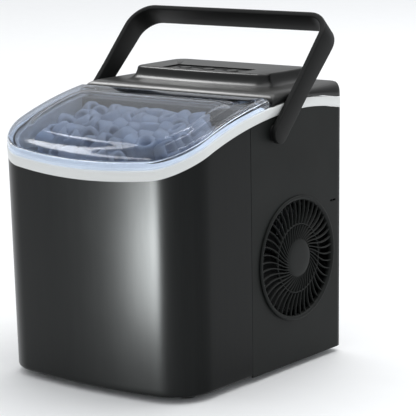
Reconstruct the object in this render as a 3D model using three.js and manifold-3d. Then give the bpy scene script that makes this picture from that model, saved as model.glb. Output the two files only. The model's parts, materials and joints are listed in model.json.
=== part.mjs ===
// Countertop ice maker, as an assembly of separate pieces.
// Millimetres, +Z up. The origin is on the worktop under the middle of the body; the front faces -Y.
import * as THREE from "three";
import { mergeVertices } from "three/addons/utils/BufferGeometryUtils.js";
import Module from "manifold-3d";

const wasm = await Module();
wasm.setup();

// ---- driving dimensions -------------------------------------------------------------------
const WIDTH = 240;
const DEPTH = 269;
const FRONT_BOW_RADIUS = 548;
const FRONT_CORNER_RADIUS = 44.5;
const REAR_CORNER_RADIUS = 10;
const DRAFT = 0.0000708;
const DRAFT_LEVEL = 240;
const BODY_BOTTOM = 6;
const SHELL_INSET = 0.6;
const SHEET = 1.2;
const PANEL = 2.0;
const GAP = 0.3;
const COVER_GAP = 0.8;
const SEAM_Y = -21;
const REAR_SEAM_X = 107.5;
const VENT_SLOT = 3.6;

const BAND_HEIGHT = 9.7;
const BAND_PEAK_Y = 67.3;
const BAND_PEAK_Z = 258.2;
const BAND_FALL = 45.7;
const BAND_NOSE_FALL = 6.2;
const BAND_REAR_FALL = 7.8;

const DECK_Z = 277;
const PLATFORM_Z = 290;
const PLATFORM = { halfWidth: 83, front: 52, back: 126, radius: 10, bow: 5 };
const COVER_FRONT = 13;
const COVER_WALL = 2.4;
const PANEL_RECESS = { halfWidth: 50, front: 55, back: 83 };
const RECESS_FLOOR = 287.4;
const BUTTON_RADIUS = 6;
const BUTTON_Y = 69;
const BUTTON_PITCH = 30;

const LID_REAR = 10;
const LID_HEIGHT = 9.5;
const LID_WALL = 2.2;
const WINDOW = { halfWidth: 90, front: -113, back: -24, radius: 30 };
const WINDOW_RISE = 4;
const HINGE = { y: 5.4, z: 268.6, pin: 1.4, boss: 2.6, x: 101 };
const LID_REAR_WALL = 1.6;

const HANDLE_AXIS = { y: 16.8, z: 240 };
const HANDLE_LEAN = -45;
const HANDLE = { outerX: 128, topX: 126.6, thickness: 5.9, width: 20.6, reach: 140, radius: 27, grip: 24 };
const PIVOT_RADIUS = 5;

const FAN = { y: 52.5, z: 111, rim: 62, opening: 58.5, ring: 34, hub: 18 };
const GRILLE_RIBS = 44;
const GRILLE_SWIRL = 26;
const RIB_WIDTH = 1.3;

const TUB_INSET = 10;
const TUB_WALL = 2;
const TUB_FLOOR = 24;
const TUB_BACK = -10;
const SHELF_Z = 176;
const SHELF_BACK = 68;
const BASKET = { inset: 16.5, back: -24, floor: 92, rim: 221, wall: 1.8 };

const TRAY_AXIS = { y: 52, z: 230 };
const TRAY = { left: -88, right: 60, front: -2, back: 53, floor: 216, rim: 244, wall: 2 };
const FINGER = { rowFront: 14, rowBack: 32, pitch: 27, tip: 222, top: 252, radius: 7 };

const COMPRESSOR = { x: -58, y: 58, radius: 47, bottom: 24, top: 136 };
const FOOT = { x: 88, front: -88, back: 108, radius: 11 };
const DRAIN = { y: 0, z: 36 };
const GLAND = { x: -84, z: 40 };

// ---- materials ----------------------------------------------------------------------------
function finish(color, roughness, metalness, extra = {}) {
  return new THREE.MeshStandardMaterial({ color, roughness, metalness, ...extra });
}

const BLACK_STEEL = finish(0x2a2c2e, 0.32, 0.9);
const CHARCOAL = finish(0x2b2d2c, 0.55, 0.0);
const SATIN_CHARCOAL = finish(0x3a3b3b, 0.42, 0.0);
const GLOSS_PANEL = finish(0x1c1d1e, 0.15, 0.0);
const BUTTON_GREY = finish(0x4a4b4c, 0.45, 0.0);
const WHITE_TRIM = finish(0xe9e8e4, 0.35, 0.0);
const WHITE_LINER = finish(0xdfe6ec, 0.4, 0.0);
const BASKET_GREY = finish(0xb9c3cc, 0.45, 0.0);
const SMOKY_CLEAR = finish(0x8d99a6, 0.08, 0.0, { transparent: true, opacity: 0.35 });
const FOAM = finish(0xe6dcb8, 0.9, 0.0);
const RUBBER = finish(0x18181a, 0.85, 0.0);
const ZINC = finish(0xa9acae, 0.45, 0.8);
const BRIGHT_STEEL = finish(0xc8cacc, 0.2, 1.0);
const COPPER = finish(0xb8734a, 0.3, 1.0);
const ALUMINIUM = finish(0xc2c5c8, 0.4, 0.9);
const BLACK_PAINT = finish(0x141516, 0.35, 0.3);
const BOARD_GREEN = finish(0x1f5a38, 0.5, 0.0);
const SILICONE = finish(0xd9dcd8, 0.5, 0.0, { transparent: true, opacity: 0.7 });
const INNER_PLASTIC = finish(0x5c6268, 0.5, 0.0);

// ---- solids -------------------------------------------------------------------------------
const iceMaker = new THREE.Group();

function solid(geometry) {
  const bare = geometry.clone();
  bare.deleteAttribute("normal");
  bare.deleteAttribute("uv");
  const merged = mergeVertices(bare, 1e-4);
  const vertProperties = new Float32Array(merged.attributes.position.array);
  const triVerts = new Uint32Array(merged.index.array);
  return new wasm.Manifold(new wasm.Mesh({ numProp: 3, vertProperties, triVerts }));
}

function part(name, body, material, group = iceMaker) {
  const mesh = body.getMesh();
  const geometry = new THREE.BufferGeometry();
  geometry.setAttribute("position", new THREE.BufferAttribute(new Float32Array(mesh.vertProperties), 3));
  geometry.setIndex(new THREE.BufferAttribute(new Uint32Array(mesh.triVerts), 1));
  geometry.computeVertexNormals();
  const node = new THREE.Mesh(geometry, material);
  node.name = name;
  group.add(node);
  return node;
}

function join(...bodies) {
  return bodies.reduce((whole, body) => whole.add(body));
}

function cut(body, ...tools) {
  return tools.reduce((whole, tool) => whole.subtract(tool), body);
}

function box(x0, x1, y0, y1, z0, z1) {
  const geometry = new THREE.BoxGeometry(x1 - x0, y1 - y0, z1 - z0);
  geometry.translate((x0 + x1) / 2, (y0 + y1) / 2, (z0 + z1) / 2);
  return solid(geometry);
}

// Rods: from one plane to another along an axis, with the other two coordinates of the centre.
function rodX(radius, x0, x1, y, z, sides = 20, endRadius = radius) {
  const geometry = new THREE.CylinderGeometry(endRadius, radius, x1 - x0, sides);
  geometry.rotateZ(-Math.PI / 2);
  geometry.translate((x0 + x1) / 2, y, z);
  return solid(geometry);
}

function rodY(radius, y0, y1, x, z, sides = 20) {
  const geometry = new THREE.CylinderGeometry(radius, radius, y1 - y0, sides);
  geometry.translate(x, (y0 + y1) / 2, z);
  return solid(geometry);
}

function rodZ(radius, z0, z1, x, y, sides = 20, topRadius = radius) {
  const geometry = new THREE.CylinderGeometry(topRadius, radius, z1 - z0, sides);
  geometry.rotateX(Math.PI / 2);
  geometry.translate(x, y, (z0 + z1) / 2);
  return solid(geometry);
}

// A turned piece standing on Z: the profile is a list of [radius, z] from axis to axis.
function turned(profile, x, y, sides = 24) {
  const points = profile.map(([radius, z]) => new THREE.Vector2(radius, z));
  const geometry = new THREE.LatheGeometry(points, sides);
  geometry.rotateX(Math.PI / 2);
  geometry.translate(x, y, 0);
  return solid(geometry);
}

function shapeOf(points) {
  return new THREE.Shape(points.map(([a, b]) => new THREE.Vector2(a, b)));
}

function slab(points, z0, z1) {
  const geometry = new THREE.ExtrudeGeometry(shapeOf(points), { depth: z1 - z0, bevelEnabled: false });
  geometry.translate(0, 0, z0);
  return solid(geometry);
}

// A side profile, given as [y, z] points, made solid from x0 to x1.
function profileX(points, x0, x1) {
  const geometry = new THREE.ExtrudeGeometry(shapeOf(points), { depth: x1 - x0, bevelEnabled: false });
  const basis = new THREE.Matrix4().makeBasis(
    new THREE.Vector3(0, 1, 0),
    new THREE.Vector3(0, 0, 1),
    new THREE.Vector3(1, 0, 0),
  );
  geometry.applyMatrix4(basis);
  geometry.translate(x0, 0, 0);
  return solid(geometry);
}

function tube(points, radius, sides = 8, steps = 24) {
  const path = new THREE.CatmullRomCurve3(points.map(([x, y, z]) => new THREE.Vector3(x, y, z)));
  const section = [];
  for (let i = 0; i < sides; i += 1) {
    const angle = (2 * Math.PI * i) / sides;
    section.push([radius * Math.cos(angle), radius * Math.sin(angle)]);
  }
  const geometry = new THREE.ExtrudeGeometry(shapeOf(section), { steps, extrudePath: path });
  return solid(geometry);
}

// ---- the body's plan ----------------------------------------------------------------------
function arc(cx, cy, radius, from, to, steps) {
  const points = [];
  for (let i = 0; i <= steps; i += 1) {
    const angle = THREE.MathUtils.degToRad(from + ((to - from) * i) / steps);
    points.push([cx + radius * Math.cos(angle), cy + radius * Math.sin(angle)]);
  }
  return points;
}

// Right half of a bowed, round-cornered plan, from the middle of the front to the middle of the back.
function halfPlan({ halfWidth, front, back, bowRadius, cornerRadius, rearRadius, sideSteps }) {
  const bowY = front + bowRadius;
  const cornerX = halfWidth - cornerRadius;
  const reach = bowRadius - cornerRadius;
  const cornerY = bowY - Math.sqrt(reach * reach - cornerX * cornerX);
  const meet = THREE.MathUtils.radToDeg(Math.atan2(cornerY - bowY, cornerX));
  const points = arc(0, bowY, bowRadius, -90, meet, 3);
  points.push(...arc(cornerX, cornerY, cornerRadius, meet, 0, 6).slice(1));
  const sideEnd = back - rearRadius;
  for (let i = 1; i < sideSteps; i += 1) {
    points.push([halfWidth, cornerY + ((sideEnd - cornerY) * i) / sideSteps]);
  }
  points.push(...arc(halfWidth - rearRadius, sideEnd, rearRadius, 0, 90, 3));
  points.push([0, back]);
  return points;
}

function whole(half) {
  const left = half.slice(1, -1).reverse().map(([x, y]) => [-x, y]);
  return [...half, ...left];
}

function bodyHalf(inset, sideSteps = 1) {
  return halfPlan({
    halfWidth: WIDTH / 2 - inset,
    front: -DEPTH / 2 + inset,
    back: DEPTH / 2 - inset,
    bowRadius: FRONT_BOW_RADIUS - inset,
    cornerRadius: FRONT_CORNER_RADIUS - inset,
    rearRadius: Math.max(REAR_CORNER_RADIUS - inset, 1),
    sideSteps,
  });
}

function bodyPlan(inset, sideSteps = 1) {
  return whole(bodyHalf(inset, sideSteps));
}

// The outer skins narrow slightly towards the worktop.
function draftScale(z) {
  return 1 + DRAFT * (z - DRAFT_LEVEL);
}

function drafted(body) {
  return body.warp((vertex) => {
    const scale = draftScale(vertex[2]);
    vertex[0] *= scale;
    vertex[1] *= scale;
  });
}

// ---- the sloping line of the white band ---------------------------------------------------
function bandBottom(y) {
  if (y > BAND_PEAK_Y) {
    const behind = (y - BAND_PEAK_Y) / (DEPTH / 2 - BAND_PEAK_Y);
    return BAND_PEAK_Z - BAND_REAR_FALL * behind ** 1.6;
  }
  const ahead = (BAND_PEAK_Y - y) / (BAND_PEAK_Y + DEPTH / 2);
  return BAND_PEAK_Z - BAND_FALL * ahead ** 2 - BAND_NOSE_FALL * ahead ** 10;
}

function bandTop(y) {
  return bandBottom(y) + BAND_HEIGHT;
}

// Everything between two heights that follow the band, as a solid as wide as the object.
function between(lower, upper, y0 = -136, y1 = 136, steps = 16) {
  const bottom = [];
  const top = [];
  for (let i = 0; i <= steps; i += 1) {
    const y = y0 + ((y1 - y0) * i) / steps;
    bottom.push([y, lower(y)]);
    top.unshift([y, upper(y)]);
  }
  return profileX([...bottom, ...top], -150, 150);
}

// A solid skinned over rings of [x, y, z] points. Both end rings are closed with rungs from side to side.
function ringSolid(rings) {
  const count = rings[0].length;
  const half = count / 2;
  const positions = rings.flat(2);
  const index = [];
  for (let r = 0; r < rings.length - 1; r += 1) {
    for (let i = 0; i < count; i += 1) {
      const a = r * count + i;
      const b = r * count + ((i + 1) % count);
      index.push(a, b, b + count, a, b + count, a + count);
    }
  }
  const last = (rings.length - 1) * count;
  const rung = (start, i) => [start + i, start + ((count - i) % count)];
  for (let i = 0; i < half; i += 1) {
    const [r0, l0] = rung(0, i);
    const [r1, l1] = rung(0, i + 1);
    const flip = last;
    if (r0 !== l0) {
      index.push(r0, l0, r1);
      index.push(flip + r0, flip + r1, flip + l0);
    }
    if (r1 !== l1) {
      index.push(l0, l1, r1);
      index.push(flip + l0, flip + r1, flip + l1);
    }
  }
  const geometry = new THREE.BufferGeometry();
  geometry.setAttribute("position", new THREE.BufferAttribute(new Float32Array(positions), 3));
  geometry.setIndex(index);
  return solid(geometry);
}

function ring(plan, height) {
  return plan.map(([x, y]) => [x, y, height(y)]);
}

// ---- outer skins --------------------------------------------------------------------------
function skin(inset, thickness, bottom) {
  return drafted(cut(
    slab(bodyPlan(inset), bottom, 272),
    slab(bodyPlan(inset + thickness), bottom - 1, 273),
  ));
}

const aboveBand = between((y) => bandBottom(y) - GAP / 2, () => 320);

function frontShell() {
  const behindSeam = box(-150, 150, SEAM_Y - GAP / 2, 150, 0, 300);
  return cut(skin(SHELL_INSET, SHEET, BODY_BOTTOM), behindSeam, aboveBand);
}

function sidePanel(side) {
  const keepOut = [
    box(-150, 150, -150, SEAM_Y + GAP / 2, 0, 300),
    box(-REAR_SEAM_X, REAR_SEAM_X, 100, 150, 0, 300),
    side > 0 ? box(-150, 0, -150, 150, 0, 300) : box(0, 150, -150, 150, 0, 300),
    aboveBand,
    rodX(8.3, side > 0 ? 100 : -140, side > 0 ? 140 : -100, HANDLE_AXIS.y, HANDLE_AXIS.z),
  ];
  return cut(skin(SHELL_INSET, PANEL, BODY_BOTTOM), ...keepOut);
}

function rightSidePanel() {
  const fanHole = rodX(FAN.rim - 2.5, 100, 140, FAN.y, FAN.z, 40);
  const catchSlot = box(100, 140, 110.5, 119.5, 158, 160);
  return cut(sidePanel(1), fanHole, catchSlot);
}

function leftSidePanel() {
  let panel = cut(sidePanel(-1), rodX(9.3, -140, -100, DRAIN.y, DRAIN.z));
  for (let row = 0; row < 7; row += 1) {
    const z = 84 + 11 * row;
    panel = cut(panel, box(-140, -100, 22, 92, z, z + VENT_SLOT));
  }
  return panel;
}

function rearPanel() {
  const half = REAR_SEAM_X - GAP;
  const outside = DEPTH / 2 - SHELL_INSET;
  let panel = drafted(box(-half, half, outside - PANEL, outside, BODY_BOTTOM, 272));
  panel = cut(panel, aboveBand, rodY(7.3, 120, 140, GLAND.x, GLAND.z, 20));
  for (let row = 0; row < 9; row += 1) {
    const z = 62 + 11 * row;
    panel = cut(panel, box(-70, -6, 120, 140, z, z + VENT_SLOT), box(6, 70, 120, 140, z, z + VENT_SLOT));
  }
  return panel;
}

function basePan() {
  const inset = SHELL_INSET + PANEL + GAP;
  const outer = drafted(slab(bodyPlan(inset), BODY_BOTTOM + 0.5, 20));
  const hollow = drafted(slab(bodyPlan(inset + 1.5), BODY_BOTTOM + 2.5, 21));
  let pan = cut(outer, hollow);
  for (const [x, y] of footPlaces()) {
    pan = cut(pan, rodZ(4.3, 0, 12, x, y, 16));
  }
  return pan;
}

function trimBand() {
  const hoop = cut(slab(bodyPlan(0), 190, 285), slab(bodyPlan(3), 180, 290));
  const strip = between((y) => bandBottom(y) + GAP / 2, bandTop, -136, 136, 22);
  return drafted(hoop.intersect(strip));
}

function footPlaces() {
  return [
    [-FOOT.x, FOOT.front],
    [FOOT.x, FOOT.front],
    [-FOOT.x, FOOT.back],
    [FOOT.x, FOOT.back],
  ];
}

function foot(x, y) {
  const profile = [
    [0, 0], [FOOT.radius - 1.5, 0], [FOOT.radius, 1.5], [FOOT.radius - 1, BODY_BOTTOM + 0.2],
    [4, BODY_BOTTOM + 0.2], [4, 9.2], [5.6, 9.2], [3.4, 13], [0, 13],
  ];
  return turned(profile, x, y, 14);
}

// ---- top cover ----------------------------------------------------------------------------
// Inset from the edge, and share of the rise from the band up to the deck.
const DECK_SHOULDER = [[0, 0], [0.6, 0.34], [3.2, 0.66], [7.4, 0.9], [13, 1]];
const DECK_SHOULDER_INSIDE = [[0, 0], [3.2, 0.66], [13, 1]];

function deckSolid(wall) {
  const levels = wall > 0 ? DECK_SHOULDER_INSIDE : DECK_SHOULDER;
  const rings = levels.map(([inset, share]) => {
    const height = (y) => {
      const seat = bandTop(y) + COVER_GAP;
      return seat + (DECK_Z - seat) * share - wall;
    };
    return ring(bodyPlan(0.4 + inset + wall, 6), height);
  });
  const skirt = ring(bodyPlan(0.4 + wall, 6), (y) => bandTop(y) - 8);
  return ringSolid(wall > 0 ? [skirt, ...rings] : rings);
}

function platformPlan(grow) {
  const plan = halfPlan({
    halfWidth: PLATFORM.halfWidth + grow,
    front: PLATFORM.front - PLATFORM.bow - grow * 1.5,
    back: Math.min(PLATFORM.back + grow, 131),
    bowRadius: 700,
    cornerRadius: PLATFORM.radius + Math.max(grow, 0),
    rearRadius: PLATFORM.radius,
    sideSteps: 1,
  });
  return whole(plan);
}

function platformSolid(wall) {
  const outer = [[10, -14], [10, -13.2], [5, -11.5], [2, -8], [0.6, -3], [0, -1], [-1.4, 0]];
  const inner = [[2, -14], [2, -8], [-1.4, 0]];
  const levels = wall > 0 ? inner : outer;
  const rings = levels.map(([grow, drop]) => ring(platformPlan(grow - wall), () => PLATFORM_Z + drop - wall));
  return ringSolid(rings);
}

function topCover() {
  const outside = join(deckSolid(0), platformSolid(0));
  const inside = join(deckSolid(COVER_WALL), platformSolid(COVER_WALL));
  const behindWall = box(-150, 150, COVER_FRONT + COVER_WALL, 150, 200, 320);
  const recess = box(
    -PANEL_RECESS.halfWidth, PANEL_RECESS.halfWidth, PANEL_RECESS.front, PANEL_RECESS.back, RECESS_FLOOR, 295,
  );
  const shelf = box(
    -PANEL_RECESS.halfWidth - 2, PANEL_RECESS.halfWidth + 2, PANEL_RECESS.front - 2, PANEL_RECESS.back + 2,
    RECESS_FLOOR - 2, 289,
  );
  const inFront = box(-150, 150, -150, COVER_FRONT, 200, 320);
  const hollow = cut(inside.intersect(behindWall), shelf);
  let cover = cut(outside, hollow, recess, inFront);
  for (const x of buttonPlaces()) {
    cover = cut(cover, rodZ(BUTTON_RADIUS + 1, 280, 295, x, BUTTON_Y));
  }
  return drafted(cover);
}

function buttonPlaces() {
  return [-BUTTON_PITCH, 0, BUTTON_PITCH];
}

function controlPanel() {
  const { halfWidth, front, back } = PANEL_RECESS;
  const reach = halfWidth - GAP;
  let plate = box(-reach, reach, front + GAP, back - GAP, RECESS_FLOOR + GAP, PLATFORM_Z - 0.8);
  for (const x of buttonPlaces()) {
    plate = cut(plate, rodZ(BUTTON_RADIUS + GAP, 280, 295, x, BUTTON_Y));
  }
  return plate;
}

function button(x) {
  const cap = rodZ(BUTTON_RADIUS, 286, 289.7, x, BUTTON_Y, 20, BUTTON_RADIUS - 0.4);
  const stem = rodZ(2.4, 281.2, 286.5, x, BUTTON_Y, 12);
  return join(cap, stem);
}

function buttonBoard() {
  let board = box(-48, 48, 58, 80, 276, 277.6);
  for (const x of buttonPlaces()) {
    board = join(board, box(x - 3, x + 3, BUTTON_Y - 3, BUTTON_Y + 3, 277.5, 280));
  }
  return board;
}

// ---- lid ----------------------------------------------------------------------------------
function lidSolid(wall) {
  const levels = [[0, 0], [0, 3.5], [1, 6.4], [3.4, 8.6], [7, LID_HEIGHT]];
  const steps = 6;
  const rings = levels.map(([inset, rise]) => {
    const drop = rise === 0 ? 0 : wall;
    return ring(bodyPlan(0.4 + inset + wall, steps), (y) => bandTop(y) + COVER_GAP + rise - drop);
  });
  const skirt = ring(bodyPlan(0.4 + wall, steps), (y) => bandTop(y) - 8);
  return ringSolid(wall > 0 ? [skirt, ...rings.slice(2)] : rings);
}

function windowPlan(grow) {
  const plan = halfPlan({
    halfWidth: WINDOW.halfWidth + grow,
    front: WINDOW.front - grow * 0.8,
    back: WINDOW.back + grow,
    bowRadius: 430,
    cornerRadius: WINDOW.radius + grow,
    rearRadius: WINDOW.radius * 0.5,
    sideSteps: 3,
  });
  return whole(plan);
}

function windowSolid(wall) {
  const outer = [[14, -3], [14, 0], [9, 0.8], [4, 3.2], [0, WINDOW_RISE]];
  const inner = [[9, -3], [9, 0.8], [0, WINDOW_RISE]];
  const levels = wall > 0 ? inner : outer;
  const rings = levels.map(([grow, rise]) => (
    ring(windowPlan(grow - wall), (y) => bandTop(y) + COVER_GAP + LID_HEIGHT + rise - wall - 0.2)
  ));
  return ringSolid(rings);
}

// The lid's rear edge is rounded over at the top, and rounded about its hinge line at the foot.
function lidRearLimit() {
  const radius = bandTop(LID_REAR) + COVER_GAP + LID_HEIGHT - HINGE.z;
  const centre = LID_REAR - radius;
  const crown = arc(centre, HINGE.z, radius, 90, 0, 6);
  const heel = arc(HINGE.y, HINGE.z, LID_REAR - HINGE.y, 0, -90, 5).slice(1);
  return profileX([[-150, 200], [-150, 330], [centre, 330], ...crown, ...heel, [HINGE.y, 200]], -150, 150);
}

function hingeBoss(side, from, to) {
  return rodX(HINGE.boss, ...ordered(side * from, side * to), HINGE.y, HINGE.z, 16);
}

function pinBore() {
  return rodX(HINGE.pin + GAP, -150, 150, HINGE.y, HINGE.z, 16);
}

function ordered(a, b) {
  return [Math.min(a, b), Math.max(a, b)];
}

function knuckle(side) {
  const [x0, x1] = ordered(side * (HINGE.x + 3.9), side * (HINGE.x + 8.9));
  const web = box(x0, x1, HINGE.y - HINGE.boss, HINGE.y + HINGE.boss, HINGE.z, 273);
  return cut(join(hingeBoss(side, HINGE.x + 3.9, HINGE.x + 8.9), web), pinBore());
}

// The lid's rear wall is notched where the two hinge ears pass through it.
function earNotch(side) {
  const [x0, x1] = ordered(side * (HINGE.x - 6), side * (HINGE.x + 3.8));
  return box(x0, x1, HINGE.y, LID_REAR + 1, 200, HINGE.z + HINGE.boss);
}

function lid() {
  const outside = join(lidSolid(0), windowSolid(0)).intersect(lidRearLimit());
  const rearWall = box(-150, 150, -150, LID_REAR - LID_REAR_WALL, 200, 330);
  const inside = join(lidSolid(LID_WALL), windowSolid(LID_WALL)).intersect(rearWall);
  const shell = cut(outside, inside, earNotch(1), earNotch(-1));
  return drafted(join(shell, knuckle(1).intersect(outside), knuckle(-1).intersect(outside)));
}

function hingePin(side) {
  return rodX(HINGE.pin, ...ordered(side * (HINGE.x - 3), side * (HINGE.x + 8)), HINGE.y, HINGE.z, 16);
}

// ---- carrying handle, drawn upright from its pivot axis and leaned back as a group -----------
function strapOutline(offset) {
  const { outerX, topX, reach, radius } = HANDLE;
  const x0 = outerX - offset;
  const x1 = topX - offset;
  const top = reach - offset;
  const r = radius - offset;
  const corner = arc(x1 - r, top - r, r, 0, 90, 6);
  const right = [[x0, -14], [x0, 0], ...corner];
  const left = right.slice().reverse().map(([x, z]) => [-x, z]);
  return [...right, ...left];
}

function handle() {
  const { width, thickness, grip, reach } = HANDLE;
  const strap = cut(
    solidAcross(strapOutline(0), grip),
    solidAcross(strapOutline(thickness).map(([x, z]) => [x, z < -10 ? z - 10 : z]), grip + 10),
  );
  const tip = arc(0, 0, width / 2, 180, 360, 10);
  const side = [...tip, [width / 2, 60], [grip / 2, 110], [grip / 2, reach + 5], [-grip / 2, reach + 5],
    [-grip / 2, 110], [-width / 2, 60]];
  const sockets = [-1, 1].map((s) => {
    const inner = s * (HANDLE.outerX - thickness - 5);
    const outer = s * (HANDLE.outerX - 2);
    return rodX(PIVOT_RADIUS + GAP, Math.min(inner, outer), Math.max(inner, outer), 0, 0, 20);
  });
  return cut(strap.intersect(profileX(side, -150, 150)), ...sockets);
}

// A front-view outline, given as [x, z] points, made solid across y, centred on y = 0.
function solidAcross(points, width) {
  const geometry = new THREE.ExtrudeGeometry(shapeOf(points), { depth: width, bevelEnabled: false });
  geometry.rotateX(Math.PI / 2);
  geometry.translate(0, width / 2, 0);
  return solid(geometry);
}

function handlePivot(side) {
  const rod = (radius, from, to) => {
    const ends = [side * from, side * to].sort((a, b) => a - b);
    return rodX(radius, ends[0], ends[1], HANDLE_AXIS.y, HANDLE_AXIS.z, 20);
  };
  return join(rod(11, 112, 116.4), rod(8, 116, 121.4), rod(PIVOT_RADIUS, 121, HANDLE.outerX - 2.4));
}

// ---- cooling side -------------------------------------------------------------------------
// Ribs run nearly straight out from the middle ring to the rim, and swirl between the hub and that ring.
function ribAngle(radius) {
  const t = (FAN.opening - radius) / (FAN.opening - FAN.hub);
  return THREE.MathUtils.degToRad(GRILLE_SWIRL * t ** 3 - 8 * t * (1 - t));
}

// One slot between two neighbouring ribs, from one radius to another.
function grilleSlot(k, inner, outer, steps) {
  const pitch = (2 * Math.PI) / GRILLE_RIBS;
  const edge = (side) => {
    const points = [];
    for (let i = 0; i <= steps; i += 1) {
      const radius = inner + ((outer - inner) * i) / steps;
      const ribEdge = side * (pitch / 2 - RIB_WIDTH / 2 / radius);
      const angle = pitch * k + ribAngle(radius) + ribEdge;
      points.push([radius * Math.cos(angle), radius * Math.sin(angle)]);
    }
    return points;
  };
  const points = [...edge(-1), ...edge(1).reverse()];
  return new THREE.Path(points.map(([a, b]) => new THREE.Vector2(a, b)));
}

function fanGrille() {
  const face = new THREE.Shape();
  face.absarc(0, 0, FAN.opening, 0, 2 * Math.PI);
  for (let k = 0; k < GRILLE_RIBS; k += 1) {
    face.holes.push(grilleSlot(k, FAN.ring + RIB_WIDTH / 2, FAN.opening - 1.2, 1));
    face.holes.push(grilleSlot(k, FAN.hub + 1.6, FAN.ring - RIB_WIDTH / 2, 2));
  }
  const options = { depth: 2.2, bevelEnabled: false, curveSegments: 16 };
  const disc = solid(new THREE.ExtrudeGeometry(face, options));
  const rimProfile = [[57.5, -2], [59.1, -2], [59.1, 1.6], [62, 1.6], [62, 2.6], [60.6, 3.6], [57.5, 2.2]];
  const rim = solid(closedLathe(rimProfile, 32).rotateX(Math.PI / 2));
  const hubProfile = [[0, 0.4], [FAN.hub + 2.2, 0.4], [FAN.hub, 3.4], [FAN.hub - 5, 4.2], [0, 4.2]];
  const hub = turned(hubProfile, 0, 0, 22);
  const flat = join(disc, rim, hub);
  return flat.transform(facingX(117.5, FAN.y, FAN.z));
}

function closedLathe(profile, sides) {
  const loop = [...profile, profile[0]];
  return new THREE.LatheGeometry(loop.map(([r, z]) => new THREE.Vector2(r, z)), sides);
}

// Turns a piece drawn flat, facing +Z, to face +X at the given place.
function facingX(x, y, z) {
  const basis = new THREE.Matrix4().makeBasis(
    new THREE.Vector3(0, 1, 0),
    new THREE.Vector3(0, 0, 1),
    new THREE.Vector3(1, 0, 0),
  );
  basis.setPosition(x, y, z);
  return basis.elements.slice();
}

function fanShroud() {
  const plate = box(88, 90, -8, 114, 50, 172);
  const throat = cut(rodX(57, 88, 106, FAN.y, FAN.z, 24), rodX(54.5, 80, 120, FAN.y, FAN.z, 24));
  const opening = rodX(54.5, 80, 120, FAN.y, FAN.z, 24);
  const arms = join(
    box(88, 90, FAN.y - 56, FAN.y + 56, FAN.z - 4, FAN.z + 4),
    box(88, 90, FAN.y - 4, FAN.y + 4, FAN.z - 56, FAN.z + 56),
    rodX(20, 88, 90, FAN.y, FAN.z, 24),
  );
  return join(cut(join(plate, throat), opening), arms);
}

function fanMotor() {
  const can = rodX(18, 90.3, 97.5, FAN.y, FAN.z, 20);
  const shaft = rodX(2, 97, 107, FAN.y, FAN.z, 12);
  return join(can, shaft);
}

function fanBlades() {
  const blade = new THREE.BoxGeometry(1.4, 22, 36);
  blade.rotateZ(THREE.MathUtils.degToRad(32));
  blade.translate(0, 0, 32);
  let wheel = rodX(17, 99.5, 110, 0, 0, 20);
  for (let k = 0; k < 7; k += 1) {
    const turnedBlade = blade.clone().rotateX((2 * Math.PI * k) / 7).translate(104.7, 0, 0);
    wheel = join(wheel, solid(turnedBlade));
  }
  const bore = rodX(2 + GAP, 90, 107.5, 0, 0, 12);
  return cut(wheel, bore).translate([0, FAN.y, FAN.z]);
}

function condenserFins() {
  let pack = box(60, 84, -6, 110, 52, 170);
  for (let k = 0; k < 22; k += 1) {
    const y = -3 + 5 * k;
    pack = cut(pack, box(50, 90, y, y + 3.4, 56, 166));
  }
  return pack;
}

function condenserCoil() {
  const rows = 6;
  const points = [[55, 118, 160]];
  for (let k = 0; k < rows; k += 1) {
    const z = 160 - 19 * k;
    const forward = k % 2 === 0;
    points.push([55, forward ? 100 : 4, z], [55, 52, z], [55, forward ? 4 : 100, z]);
    if (k < rows - 1) {
      points.push([55, forward ? -4 : 108, z - 9.5]);
    }
  }
  points.push([55, 113, 65]);
  return tube(points, 3.4, 6, 64);
}

// ---- compressor and its pipework ------------------------------------------------------------
function compressor() {
  const { radius, bottom, top, x, y } = COMPRESSOR;
  const profile = [
    [0, bottom], [radius * 0.7, bottom + 1], [radius - 3, bottom + 9], [radius, bottom + 20],
    [radius, top - 46], [radius + 1.6, top - 44], [radius + 1.6, top - 38], [radius, top - 36],
    [radius - 2, top - 16], [radius * 0.72, top - 4], [0, top],
  ];
  const can = turned(profile, x, y, 22);
  const plate = box(x - 50, x + 50, y - 46, y + 56, bottom - 4, bottom + 1.5);
  const stubs = join(
    rodZ(4, top - 30, top - 2, x + 34, y + 22, 10),
    rodZ(4, top - 30, top - 2, x + 34, y - 22, 10),
  );
  let unit = join(can, plate, stubs);
  for (const [gx, gy] of grommetPlaces()) {
    unit = cut(unit, rodZ(4.3, bottom - 8, bottom + 10, gx, gy, 16));
  }
  return unit;
}

function grommetPlaces() {
  const { x, y } = COMPRESSOR;
  return [[x - 43, y - 39], [x + 43, y - 39], [x, y + 49]];
}

function grommet(x, y) {
  const seat = COMPRESSOR.bottom - 4.3;
  const profile = [
    [0, 8.8], [8, 8.8], [7, seat], [4, seat],
    [4, seat + 6.4], [6, seat + 6.6], [4.6, seat + 9], [0, seat + 9],
  ];
  return turned(profile, x, y, 12);
}

function terminalCover() {
  const { x, y, radius } = COMPRESSOR;
  const block = box(x - 20, x + 20, y + radius - 8, y + radius + 16, 50, 84);
  return cut(block, rodZ(radius + 0.9, 20, 140, x, y, 22));
}

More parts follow.
